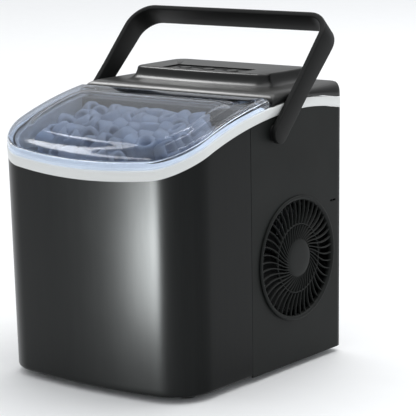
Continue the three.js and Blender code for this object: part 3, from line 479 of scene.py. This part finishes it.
DULL = {"Specular IOR Level": 0.16}
FINISHES = {
    "black_steel": surface("Brushed black steel", (0.014, 0.0148, 0.0148), 0.31, 0.95, "brushed",
                           0.14, 0.04, wear=0.1, dust=0.05, handling=0.05,
                           sockets={"Specular IOR Level": 0.2}),
    "charcoal_shell": surface("Moulded charcoal shell", (0.0082, 0.0095, 0.009), 0.52, relief=0.12,
                              dust=0.1, wear=0.2, sockets=DULL),
    "satin_charcoal": surface("Satin charcoal plastic", (0.006, 0.0064, 0.0064), 0.3, relief=0.05,
                              dust=0.07, wear=0.3, sockets={"Specular IOR Level": 0.25}),
    "gloss_panel": surface("Gloss black plastic", (0.0075, 0.008, 0.0083), 0.3, relief=0.02, dust=0.1,
                           wear=0.2, sockets={"Specular IOR Level": 0.3}),
    "button_grey": surface("Satin grey button", (0.016, 0.017, 0.018), 0.35, relief=0.06, sockets=DULL),
    "white_trim": surface("Ivory gloss trim", (0.7, 0.715, 0.71), 0.3, vary=0.02, relief=0.03, wear=0.15,
                          dust=0.1, wear_color=(0.7, 0.7, 0.69), sockets={"Coat Weight": 0.2}),
    "white_liner": surface("White liner plastic", (0.6, 0.635, 0.67), 0.28, vary=0.03, relief=0.03,
                           wear=0.1, dust=0.1),
    # The liner's white drawn paler and bluer for its ledge under the lid's rim: the extra lightness is
    # painted light.
    "ledge_painted_light": surface("Ledge white with painted light", (0.8, 0.86, 0.93), 0.35, vary=0.03, relief=0.03,
                          wear=0.1, dust=0.05),
    "basket_plastic": surface("Pale basket plastic", (0.45, 0.5, 0.54), 0.4, vary=0.04, relief=0.06,
                              wear=0.15),
    "foam": surface("Closed-cell foam", (0.72, 0.64, 0.42), 0.9, vary=0.12, relief=0.5, Scale=500),
    "rubber": surface("Matt black rubber", (0.016, 0.016, 0.017), 0.75, relief=0.3, dust=0.3,
                      sockets=DULL, Scale=900),
    "zinc_steel": surface("Zinc-plated steel", (0.42, 0.43, 0.44), 0.42, 1.0, vary=0.14, relief=0.08,
                          Scale=160),
    "bright_steel": surface("Nickel-plated steel", (0.6, 0.61, 0.62), 0.22, 1.0, "brushed", 0.08, 0.04),
    "copper": surface("Drawn copper", (0.55, 0.23, 0.12), 0.3, 1.0, vary=0.18, relief=0.05, Scale=220),
    "aluminium_fins": surface("Mill aluminium", (0.56, 0.58, 0.6), 0.4, 1.0, "brushed", 0.1, 0.08),
    "black_paint": surface("Satin black paint", (0.01, 0.0105, 0.011), 0.4, relief=0.1,
                           wear_color=(0.1, 0.1, 0.1), sockets=DULL),
    "board_green": surface("Green circuit board", (0.02, 0.12, 0.05), 0.35, vary=0.2,
                           relief=0.05, Scale=300),
    "silicone": surface("Milky silicone", (0.6, 0.62, 0.6), 0.45, vary=0.05, relief=0.05,
                        sockets={"Subsurface Weight": 0.2}),
    "inner_plastic": surface("Inner grey plastic", (0.012, 0.014, 0.017), 0.4, relief=0.08),
}
# The lid rim's clear plastic, tinted lighter than the smoky lid it shares a slot with: the lighter tint is
# painted light on the ledge seen through it.
FINISHES["clear_rim"] = clear_material("Clear lid rim", (0.79, 0.82, 0.86), 0.04, ior=1.45, relief=0.03,
                                       scale=60, shadow_tint=(0.9, 0.93, 0.97, 1))
FINISHES["smoky_clear"] = clear_material("Smoky clear plastic", (0.47, 0.505, 0.57), 0.045, ior=1.26,
                                         relief=0.03, scale=60, shadow_tint=(0.8, 0.83, 0.88, 1))
ICE = clear_material("Clear hollow ice", (0.68, 0.75, 0.85), 0.08, ior=1.31, relief=0.4, scale=260,
                     shadow_tint=(0.3, 0.36, 0.45, 1), body=0.6)
# The handle's charcoal plastic, drawn darker than the satin charcoal it shares a slot with: the extra
# darkness is painted shade.
HANDLE_BLACK_WITH_PAINTED_SHADE = surface("Handle charcoal plastic with painted shade", (0.0046, 0.005, 0.0049), 0.46, relief=0.1, dust=0.02,
                       wear=0.12, sockets=DULL)
# Black fan plastic; the black also paints the shade inside the housing behind the grille.
FAN_BLACK_AND_PAINTED_SHADE = surface("Black fan plastic and painted shade", (0.006, 0.0065, 0.007), 0.5, relief=0.1, sockets=DULL)
PRINT = surface("Pale printed mark", (0.2, 0.2, 0.2), 0.6, relief=0.02, vary=0.05, wear=0, sockets=DULL)


# ---------------------------------------------------------------- housing

def front_steel():
    """The wrapped steel front, turned in a little at its foot and crisp at its ends."""
    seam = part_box("front_shell")[1].y / MM - SEAM_GAP
    outer = half_plan(HALF_WIDTH - STEEL_INSET, FRONT + STEEL_INSET, BACK, BOW - STEEL_INSET,
                      CORNER - STEEL_INSET, REAR_CORNER)
    right = [p for p in outer if p[1] < seam - 0.5] + [(HALF_WIDTH - STEEL_INSET, seam)]
    path = [(-x, y) for x, y in right[:0:-1]] + right
    rings = []
    for step in range(7):
        a = math.radians(90 * step / 6)
        turned_in = STEEL_TURN * (1 - math.sin(a))
        rings.append(at(shrink(path, turned_in), BODY_BOTTOM + STEEL_TURN * (1 - math.cos(a))))
    foot = BODY_BOTTOM + STEEL_TURN
    for share in (0.02, 0.2, 0.4, 0.6, 0.8, 0.98, 1):
        rings.append(at(path, lambda y: foot + (band_bottom(y) - 0.05 - foot) * share))
    piece = thicken(loft("front_steel", rings, closed=False), STEEL_WALL)
    crisp = piece.modifiers.new("crisp ends", "EDGE_SPLIT")
    crisp.split_angle = math.radians(40)
    return mount(piece, "housing", "black_steel", FINISHES["black_steel"], "front_shell")


def seam_fillers():
    """Dark strips that close the joint between the steel front and each side panel."""
    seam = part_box("front_shell")[1].y / MM
    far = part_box("right_side_panel")[0].y / MM
    for name, side in (("left", -1), ("right", 1)):
        outer, inner = side * (HALF_WIDTH - 1.1), side * (HALF_WIDTH - 2.4)
        near = seam - SEAM_GAP
        corners = [(inner, near), (outer, near), (outer, far + 0.3), (inner, far + 0.3)]
        rings = [at(corners, 8), at(corners, lambda y: band_bottom(y) - 0.6)]
        piece = loft("seam_filler_" + name, rings, caps="first last")
        mount(piece, "housing", "rubber", FINISHES["rubber"])


def shrink(path, amount):
    """Moves an open outline inwards, square to itself."""
    moved = []
    for i, (x, y) in enumerate(path):
        x0, y0 = path[max(i - 1, 0)]
        x1, y1 = path[min(i + 1, len(path) - 1)]
        length = math.hypot(x1 - x0, y1 - y0) or 1
        moved.append((x - (y1 - y0) / length * amount, y + (x1 - x0) / length * amount))
    return moved


def trim_hoop():
    """The ivory band, with softened edges all the way round."""
    def section(inset, rise):
        return at(body_plan(inset), lambda y: band_bottom(y) + rise)
    top = BAND_HEIGHT
    outside = [(0.7, 0.15), (0.2, 0.35), (0.0, 0.9), (0.0, top - 1.1), (0.25, top - 0.4), (0.9, top)]
    rings = [section(*p) for p in outside + [(2.6, top), (3.0, top - 0.5), (3.0, 0.15)]]
    piece = loft("trim_hoop", rings, hoop=True, sharp=50)
    return mount(piece, "housing", "white_trim", FINISHES["white_trim"], "trim_band")


def cover_ring(inset, share, front):
    """One outline of the top cover's shoulder. front is how far it stands behind the lip."""
    back = BACK - COVER_INSET - inset * 0.22
    points = plan(HALF_WIDTH - COVER_INSET - inset, COVER_FRONT + front, back, NEARLY_FLAT,
                  1.2 + front * 0.5, max(REAR_CORNER - inset, 3))

    def height(y):
        seat = band_top(y) + COVER_GAP
        return seat + (DECK_Z - seat) * share
    return at(points, height)


def platform_ring(grow, drop):
    """One outline of the platform's slope. Its back stays in front of the shoulder's roll."""
    back = min(126 + grow, 130.4)
    points = plan(83 + grow, 47 - 1.5 * grow, back, 700, 10 + max(grow, 0), 10)
    return at(points, PLATFORM_Z + drop)


def top_cover():
    """The rear cover: rolled shoulder, flat deck, raised platform and its panel recess."""
    shoulder = []
    for step in range(9):
        a = math.radians(90 * step / 8)
        inset = 13 * (1 - math.cos(a)) ** 1.25
        front = 15.5 * (1 - math.cos(a)) ** 1.2
        shoulder.append(cover_ring(inset, math.sin(a) ** 0.85, front))
    rise = [(12, -13.0), (9, -12.75), (6.2, -12), (4, -10.6), (2.4, -8.6), (1.4, -6.2),
            (0.8, -4), (0.4, -2.2), (0.1, -1.2), (-0.5, -0.4), (-1.4, 0)]
    climb = [platform_ring(*p) for p in rise]
    half, front, back = PANEL
    well = plan(half, front, back, NEARLY_FLAT, 3, 3)
    brim = plan(half + 0.1, front - 0.1, back + 0.1, NEARLY_FLAT, 3, 3)
    lip = [at(brim, PLATFORM_Z), at(well, PLATFORM_Z - 0.1)]
    floor = at(well, RECESS_FLOOR)
    piece = loft("top_cover_skin", shoulder + climb + lip + [floor], caps="last", sharp=38)
    thicken(piece, COVER_WALL)
    return mount(piece, "housing", "satin_charcoal", FINISHES["satin_charcoal"], "top_cover")


# ---------------------------------------------------------------- lid

def lid_ring(angle):
    """An outline on the lid's rounded rim, from 0 at its side to 90 degrees at its top."""
    a = math.radians(angle)
    inset = 7 * (1 - math.cos(a))
    rise = 3.5 + 6 * math.sin(a)
    rear = 4.1 + 5.9 * math.cos(a)
    return at(body_plan(LID_INSET + inset, rear), lambda y: band_top(y) + COVER_GAP + rise)


def window_ring(grow, rise):
    """An outline round the window, on the ridge that lifts it above the lid."""
    half, front, back, bow, corner, rear = WINDOW
    points = plan(half + grow, front - 0.8 * grow, back + grow, bow, corner + grow, rear)
    return at(points, lambda y: band_top(y) + COVER_GAP + LID_HEIGHT + rise - 0.2)


def window_fill(share):
    """An outline drawn in towards the middle of the window, on its curved face."""
    middle = (WINDOW[1] + WINDOW[2]) / 2
    points = [(x * share, middle + (y - middle) * share) for x, y in plan(*WINDOW)]
    return at(points, lambda y: band_top(y) + COVER_GAP + LID_HEIGHT + WINDOW_RISE - 0.2)


def lid_rim():
    """The lid's upright rim, clearer than the smoky dome inside it; the lighter tint is painted light on the
    ledge seen through it.
    """
    foot = [at(body_plan(LID_INSET, 6.6), lambda y: band_top(y) + COVER_GAP),
            at(body_plan(LID_INSET, 8.9), lambda y: band_top(y) + COVER_GAP + 1.2)]
    piece = loft("lid_rim", foot + [lid_ring(a) for a in (0, 12, 24, 36)], sharp=60)
    thicken(piece, LID_WALL)
    cut_ear_notches(piece)
    return mount(piece, "lid_body", "smoky_clear", FINISHES["clear_rim"])


def clear_lid():
    """The smoky lid, with an embossed window that stands up on a ridge."""
    shoulder = [lid_ring(a) for a in (36, 48, 60, 72, 82, 90)]
    climb = ((14, 0.2), (11.5, 0.35), (9.5, 0.8), (7.5, 1.7), (5.6, 2.7), (3.8, 3.5), (2.2, 3.9),
             (0, WINDOW_RISE))
    ridge = [window_ring(*p) for p in climb]
    middle = [window_fill(s) for s in (0.93, 0.8, 0.6, 0.4, 0.2, 0.03)]
    piece = loft("clear_lid", shoulder + ridge + middle, caps="last", sharp=60)
    thicken(piece, LID_WALL)
    cut_ear_notches(piece)
    return mount(piece, "lid_body", "smoky_clear", FINISHES["smoky_clear"], "lid")


def cut_ear_notches(piece):
    """Opens the lid's rear wall where the hinge ears pass through it."""
    for near, far in ((-106, -94), (94, 106)):
        corners = [(near, -6), (far, -6), (far, 14), (near, 14)]
        levels = [at(corners, 240), at(corners, HINGE_Z + 2.8)]
        cut_away(piece, loft("notch", levels, caps="first last"))


def rim_ledge():
    """The liner's ledge, which shows through the lid's rim, drawn paler and bluer than the liner's white as
    painted light.
    """
    section = ((1.4, 0.1), (1.4, 0.9), (2.0, 1.7), (6.4, 2.2), (6.6, 0.1))
    rings = [at(body_plan(inset, 2.0), lambda y, rise=rise: band_top(y) + rise) for inset, rise in section]
    piece = loft("rim_ledge", rings, hoop=True)
    return mount(piece, "housing", "white_liner", FINISHES["ledge_painted_light"])


def lid_seal():
    """The dark bead under the lid that closes on the liner's ledge."""
    section = ((7.0, 1.0), (8.2, 1.0), (8.4, 1.8), (7.6, 2.3), (6.8, 1.8))
    rings = [at(body_plan(inset, 2.0), lambda y, rise=rise: band_top(y) + rise) for inset, rise in section]
    piece = loft("lid_seal", rings, hoop=True)
    return mount(piece, "lid_body", "rubber", FINISHES["rubber"])


# ---------------------------------------------------------------- carrying handle

def handle_stations():
    """Points on the strap's outer face as (x, z, angle of its outward normal), and its width."""
    stations = []
    for z in (-10.25, -9.6, -8, -5.5, -2.5):
        stations.append((128, z, 0, 2 * math.sqrt(10.3 ** 2 - z * z)))
    for z in (0, 15, 30, 45, 60, 75, 90, 105):
        width = 20.6 + 3.4 * max(0, min(1, (z - 60) / 50))
        stations.append((128 - 1.4 * z / 113, z, 0, width))
    for x, z in arc(126.6 - 27, 140 - 27, 27, 0, 90, 12):
        stations.append((x, z, math.degrees(math.atan2(z - 113, x - 99.6)), 24))
    for x in (80, 60, 40, 20):
        stations.append((x, 140, 90, 24))
    mirrored = [(-x, z, 180 - a, w) for x, z, a, w in stations]
    return stations + [(0, 140, 90, 24)] + mirrored[::-1]


def strap_section(x, z, angle, width, thickness=5.9, edge=1.3):
    """A rounded strap section at one station, leant back with the handle."""
    half = width / 2
    soft = min(edge, half * 0.5)
    outline = arc(-soft, half - soft, soft, 0, 90, 3)
    outline += arc(soft - thickness, half - soft, soft, 90, 180, 3)
    outline += arc(soft - thickness, soft - half, soft, 180, 270, 3)
    outline += arc(-soft, soft - half, soft, 270, 360, 3)
    out = Vector((math.cos(math.radians(angle)), 0, math.sin(math.radians(angle))))
    lean = Matrix.Rotation(math.radians(HANDLE_LEAN), 3, "X")
    ring = []
    for depth, side in outline:
        p = lean @ (Vector((x, side, z)) + out * depth)
        ring.append((p.x * MM, (p.y + HANDLE_Y) * MM, (p.z + HANDLE_Z) * MM))
    return ring


def carrying_handle():
    rings = [strap_section(*s) for s in handle_stations()]
    piece = loft("carrying_handle", rings, caps="first last", sharp=60)
    return mount(piece, "handle_body", "satin_charcoal", HANDLE_BLACK_WITH_PAINTED_SHADE, "handle")


# ---------------------------------------------------------------- fan grille

def rib_angle(radius):
    """How far a rib has swirled at a radius, which gives it its S shape."""
    t = (58.5 - radius) / (58.5 - 18)
    return math.radians(26 * t ** 3 - 8 * t * (1 - t))


def rib_rings(k, inner, outer):
    """One swirled rib, domed towards the hub, with a narrow front edge."""
    rings = []
    for i in range(9):
        radius = inner + (outer - inner) * i / 8
        crown = 2.0 + 1.4 * (1 - ((radius - 18) / 40.5) ** 2)
        middle = 2 * math.pi * (k + 0.5) / RIB_COUNT + rib_angle(radius)
        ring = []
        outline = ((-0.65, 0), (0.65, 0), (0.62, crown - 0.4), (0.3, crown), (-0.3, crown),
                   (-0.62, crown - 0.4))
        for side, height in outline:
            angle = middle + side / radius
            ring.append(sideways(radius * math.cos(angle), radius * math.sin(angle), height))
        rings.append(ring)
    return rings


def fan_guard():
    """The round guard: bezel, swirled ribs, one middle hoop and the hub cap."""
    bm = bmesh.new()
    bezel = [(57.6, -1.9), (59.0, -1.9), (59.0, 1.7), (61.9, 1.7), (61.9, 2.4), (61.5, 2.9),
             (60.4, 3.5), (59.2, 3.2), (58.2, 2.3), (57.6, 1.6)]
    skin_rings(bm, turn(bezel, 96, sideways), hoop=True)
    hoop = [(33.4, 0.4), (34.6, 0.4), (34.6, 2.6), (34.2, 3.0), (33.8, 3.0), (33.4, 2.6)]
    skin_rings(bm, turn(hoop, 72, sideways), hoop=True)
    for k in range(RIB_COUNT):
        rows = skin_rings(bm, rib_rings(k, 17.5, 58.2))
        bm.faces.new(rows[0][::-1])
        bm.faces.new(rows[-1])
    cap = [(20.0, 0.4), (20.1, 1.4), (19.4, 2.6), (17.6, 3.5), (14.5, 3.9), (9, 4.1), (4, 4.15), (0.4, 4.15)]
    rows = skin_rings(bm, turn(cap, 60, sideways))
    bm.faces.new(rows[0][::-1])
    bm.faces.new(rows[-1])
    piece = new_piece("fan_guard", bm, 45)
    return mount(piece, "housing", "charcoal_shell", FINISHES["charcoal_shell"], "fan_grille")


# ---------------------------------------------------------------- controls

def touch_panel():
    """The satin plate in the platform's recess, with a round opening for each button."""
    half, front, back = PANEL
    bm = bmesh.new()
    top = PLATFORM_Z - PANEL_SINK
    profile = [(0.45, PANEL_FOOT), (0.35, top - 0.15), (0.45, top)]
    rings = [at(plan(half - i, front + i, back - i, NEARLY_FLAT, 2.8, 2.8), z) for i, z in profile]
    rows = skin_rings(bm, rings)
    bm.faces.new(rows[0][::-1])
    bm.faces.new(rows[-1])
    piece = new_piece("touch_panel", bm, 40)
    for index in (-1, 0, 1):
        drill(piece, index * BUTTON_PITCH)
    return mount(piece, "housing", "gloss_panel", FINISHES["satin_charcoal"], "control_panel")


def drill(piece, x):
    """Cuts a button opening."""
    rings = turn([(6.3, 286), (6.3, 292)], 48, upright(x, BUTTON_Y))
    cut_away(piece, loft("cutter", rings, caps="first last"))


def button_cap(name, body, x):
    """A round key with a softly dished top."""
    top = KEY_TOP
    profile = [(0.3, KEY_FOOT), (5.9, KEY_FOOT), (5.95, top - 0.4), (5.7, top - 0.1), (5.2, top),
               (3.5, top - 0.15), (0.3, top - 0.25)]
    piece = loft(name + "_cap", turn(profile, 48, upright(x, BUTTON_Y)), caps="first last", sharp=50)
    return mount(piece, body, "button_grey", FINISHES["button_grey"], name)


def printed_mark(name, body, x, strokes):
    """A plain symbol on a key, as thin raised lines of ink."""
    curve = bpy.data.curves.new(name, "CURVE")
    curve.dimensions = "3D"
    curve.bevel_depth = 0.16 * MM
    for points, cyclic in strokes:
        spline = curve.splines.new("POLY")
        spline.points.add(len(points) - 1)
        for target, (a, b) in zip(spline.points, points):
            target.co = ((x + a) * MM, (BUTTON_Y + b) * MM, INK_LEVEL * MM, 1)
        spline.use_cyclic_u = cyclic
    piece = bpy.data.objects.new(name, curve)
    bpy.context.scene.collection.objects.link(piece)
    return mount(piece, body, "white_trim", PRINT)


def controls():
    touch_panel()
    keys = (("power_button", "power_button_body", -1), ("size_button", "size_button_body", 0),
            ("clean_button", "clean_button_body", 1))
    ring = arc(0, 0, 2.4, 125, 415, 20)
    marks = {
        "power_button": [(ring, False), ([(0, 0.9), (0, 2.9)], False)],
        "size_button": [([(-2.6, -1.6), (-0.4, -1.6), (-0.4, 0.6), (-2.6, 0.6)], True),
                        ([(0.6, -1.6), (3.2, -1.6), (3.2, 1.8), (0.6, 1.8)], True)],
        "clean_button": [(arc(0, -0.6, 1.7, 150, 390, 14) + [(0, 2.8)], True)],
    }
    for name, body, place in keys:
        button_cap(name, body, place * BUTTON_PITCH)
        printed_mark(name + "_mark", body, place * BUTTON_PITCH, marks[name])


# ---------------------------------------------------------------- ice in the basket

def bullet_rings():
    """A hollow, thimble-shaped piece of ice, open at the top, from its bore to its nose."""
    bore = [(0.6, -1), (3.2, -0.2), (4.4, 2.5), (4.9, 6), (5.2, 10.5), (5.7, 12.2)]
    wall = [(7.2, 13), (9.0, 12.6), (10.4, 11.4), (10.9, 9), (11.0, 2), (10.8, -5), (9.8, -9.5),
            (7.6, -12.4), (4.2, -13.8), (0.6, -14.2)]
    return bore + wall


def ice_ceiling(x, y):
    """The height ice may reach: under the closed lid, less the basket's lift."""
    under_window = abs(x) < 86 and -109 + x * x / 900 < y
    room = ROOM_UNDER_WINDOW if under_window else ROOM_UNDER_RIM
    return band_top(y) + room - BASKET_LIFT - ICE_GAP


def settle(points, rear, high):
    """Moves a piece forward of the basket's back and down until it clears the lid."""
    shift = min(0, rear - max(p.y for p in points))
    moved = [p + Vector((0, shift, 0)) for p in points]
    excess = max(p.z - ice_ceiling(p.x, p.y) for p in moved)
    drop = excess if high else max(excess, 0)
    return [p - Vector((0, 0, drop)) for p in moved]


def add_ice(bm, rng, place, rear, high):
    """Puts one piece of ice, tumbled and slightly melted, into the heap."""
    pitch = Matrix.Rotation(rng.uniform(-0.4, 1.5), 3, "X")
    tumble = pitch @ Matrix.Rotation(rng.uniform(-1.2, 1.2), 3, "Y")
    size = rng.uniform(0.86, 1.02)
    melt = [rng.uniform(0.95, 1.05) for _ in range(ICE_SIDES)]

    def put(a, b, h):
        k = melt[int((math.atan2(b, a) / math.tau) * ICE_SIDES) % ICE_SIDES]
        return tumble @ Vector((a * size * k, b * size * k, h * size)) + place
    rings = turn(bullet_rings(), ICE_SIDES, put)
    settled = settle([p for ring in rings for p in ring], rear, high)
    placed = [(p.x * MM, p.y * MM, p.z * MM) for p in settled]
    rows = skin_rings(bm, [placed[i:i + ICE_SIDES] for i in range(0, len(placed), ICE_SIDES)])
    bm.faces.new(rows[0][::-1])
    bm.faces.new(rows[-1])


def heap_places(rng):
    """Places for the ice: two full courses under a heaped top that follows the lid."""
    places = []
    for depth, rear, rows in ((38, -26.5, 4), (18, -26.5, 5), (0, -17.5, 6)):
        for row in range(rows):
            for col in range(10):
                x = (col - 4.5) * ICE_PITCH + (row % 2 - 0.5) * 9 + rng.uniform(-3, 3)
                y = -104 + row * (rear - 11 + 104) / (rows - 1) + rng.uniform(-2, 2)
                limit = 88 - 12 * max(0, (-y - 88) / 18)
                if abs(x) > limit or y < -106 + x * x / 800:
                    continue
                z = band_top(y) - 8 - depth - rng.uniform(0, 2.5)
                places.append((Vector((x, y, z)), rear, depth == 0))
    return places


def ice_heap():
    rng = random.Random(11)
    bm = bmesh.new()
    for place, rear, high in heap_places(rng):
        add_ice(bm, rng, place, rear, high)
    piece = new_piece("ice_heap", bm, 60)
    piece.data.materials.append(ICE)
    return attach(piece, "basket_body")


# ---------------------------------------------------------------- feet

def rubber_feet():
    for side, x in (("left", -88), ("right", 88)):
        for end, y in (("front", -88), ("rear", 108)):
            name = "foot_" + end + "_" + side
            profile = [(0.4, 0), (9.2, 0), (10.3, 0.35), (10.9, 1.3), (10.9, 2.4), (10.2, 3),
                       (10.0, 6.1), (0.4, 6.1)]
            rings = turn(profile, 48, upright(x, y))
            piece = loft(name + "_pad", rings, caps="first last", sharp=50)
            mount(piece, "housing", "rubber", FINISHES["rubber"], name)


# ---------------------------------------------------------------- carried-over parts

def dress_cad_nodes():
    """Every CAD part that still shows gets its finish and crisp edges."""
    finish_of = {}
    for row in frame["record"]["subparts"]:
        finish_of[row["node"]] = row.get("material_slot") or row.get("slot")
    for name, node in frame["nodes"].items():
        if node.hide_render:
            continue
        # Fan parts take the black fan plastic in place of their own finish, which also paints the shade
        # behind the grille.
        fan_black_and_shade = name.startswith("fan_") and name != "fan_motor"
        material = FAN_BLACK_AND_PAINTED_SHADE if fan_black_and_shade else FINISHES[finish_of[name]]
        node.data.materials.clear()
        node.data.materials.append(material)
        split = node.modifiers.new("crisp edges", "EDGE_SPLIT")
        split.split_angle = math.radians(32)


# ---------------------------------------------------------------- studio

def studio_floor():
    bm = bmesh.new()
    lines = (-12, -4, 0, 4, 12)
    skin_rings(bm, [[(x, y, 0) for x in lines] for y in lines], closed=False)
    floor = new_piece("studio_floor", bm)
    paper = surface("Pale studio floor", (0.88, 0.885, 0.89), 0.7, vary=0.01, relief=0.01, wear=0,
                    dust=0, handling=0.02, Scale=40)
    floor.data.materials.append(paper)


def soft_light(name, place, target, width, height, power, color=(1, 1, 1)):
    lamp = bpy.data.lights.new(name, "AREA")
    lamp.shape = "RECTANGLE"
    lamp.size, lamp.size_y = width, height
    lamp.energy = power
    lamp.color = color
    holder = bpy.data.objects.new(name, lamp)
    bpy.context.scene.collection.objects.link(holder)
    holder.location = place
    aim = Vector(target) - Vector(place)
    holder.rotation_euler = aim.to_track_quat("-Z", "Y").to_euler()
    return holder


def light_only(lamp, pieces):
    """Keeps a lamp's light on the named pieces, as flags do in a studio."""
    group = bpy.data.collections.new(lamp.name + " receivers")
    for piece in pieces:
        group.objects.link(piece)
    lamp.light_linking.receiver_collection = group


def studio_air():
    """Light from all round, brighter overhead than at the horizon."""
    world = bpy.data.worlds.new("Studio air")
    world.use_nodes = True
    tree = world.node_tree
    split = tree.nodes.new("ShaderNodeSeparateXYZ")
    coordinates = tree.nodes.new("ShaderNodeTexCoord")
    tree.links.new(coordinates.outputs["Generated"], split.inputs[0])
    height = add_math(tree, "MAXIMUM", split.outputs["Z"], 0.0)
    background = tree.nodes["Background"]
    background.inputs["Color"].default_value = (0.97, 0.985, 1, 1)
    strength = add_math(tree, "ADD", add_math(tree, "MULTIPLY", height, 0.75), 0.45)
    tree.links.new(strength, background.inputs["Strength"])
    bpy.context.scene.world = world


# The slim lamps that draw the lid's ridge: name, place, width, depth and power.
LID_GLINTS = (
    ("left_glint", (-1.2, -0.45, 1.72), 1.7, 0.13, 6.5),
    ("top_glint", (-0.45, 0.3, 2.05), 0.9, 0.13, 7.0),
    ("right_glint", (0.35, 0.75, 1.9), 0.3, 1.0, 13.0),
)

# Two strips that draw the upright highlight on the steel front: name, place, target, width,
# depth and power.
STEEL_STRIPS = (
    ("front_strip", (-0.045, -0.66, 0.26), (0.076, -0.115, 0.26), 0.27, 0.56, 14.5),
    ("low_front_strip", (0.01, -0.41, 0.065), (0.076, -0.115, 0.065), 0.15, 0.12, 2.6),
)


def studio_lights(steel, cover, lid_pieces):
    soft_light("overhead", (0.2, 1.4, 3.0), (0, 0.4, 0), 4.0, 3.0, 60)
    left_top = soft_light("left_top", (-1.35, 0.25, 1.9), (0, 0.05, 0.25), 0.7, 0.6, 31)
    light_only(left_top, [cover])
    lid_middle = (0, -0.05, 0.25)
    for name, place, width, depth, power in LID_GLINTS:
        light_only(soft_light(name, place, lid_middle, width, depth, power), lid_pieces)
    for name, place, target, width, depth, power in STEEL_STRIPS:
        strip = soft_light(name, place, target, width, depth, power)
        strip.visible_camera = False
        light_only(strip, [steel])


def studio_camera():
    lens = bpy.data.cameras.new("product_camera")
    lens.lens = 165.2
    lens.sensor_width = 36
    lens.clip_start, lens.clip_end = 0.02, 60
    camera = bpy.data.objects.new("product_camera", lens)
    bpy.context.scene.collection.objects.link(camera)
    right = Vector((0.7865, 0.6172, -0.0209))
    up = Vector((-0.1, 0.1607, 0.9819))
    back = Vector((0.6094, -0.7702, 0.1881))
    turned = Matrix((right, up, back)).transposed()
    camera.matrix_world = Matrix.Translation((1.1876, -1.438, 0.5137)) @ turned.to_4x4()
    bpy.context.scene.camera = camera


studio_camera()
steel = front_steel()
seam_fillers()
trim_hoop()
cover = top_cover()
lid = clear_lid()
rim = lid_rim()
rim_ledge()
lid_seal()
carrying_handle()
fan_guard()
controls()
ice_heap()
rubber_feet()
dress_cad_nodes()
studio_floor()
studio_lights(steel, cover, [lid, rim])
studio_air()
bpy.context.scene.view_settings.view_transform = "Standard"
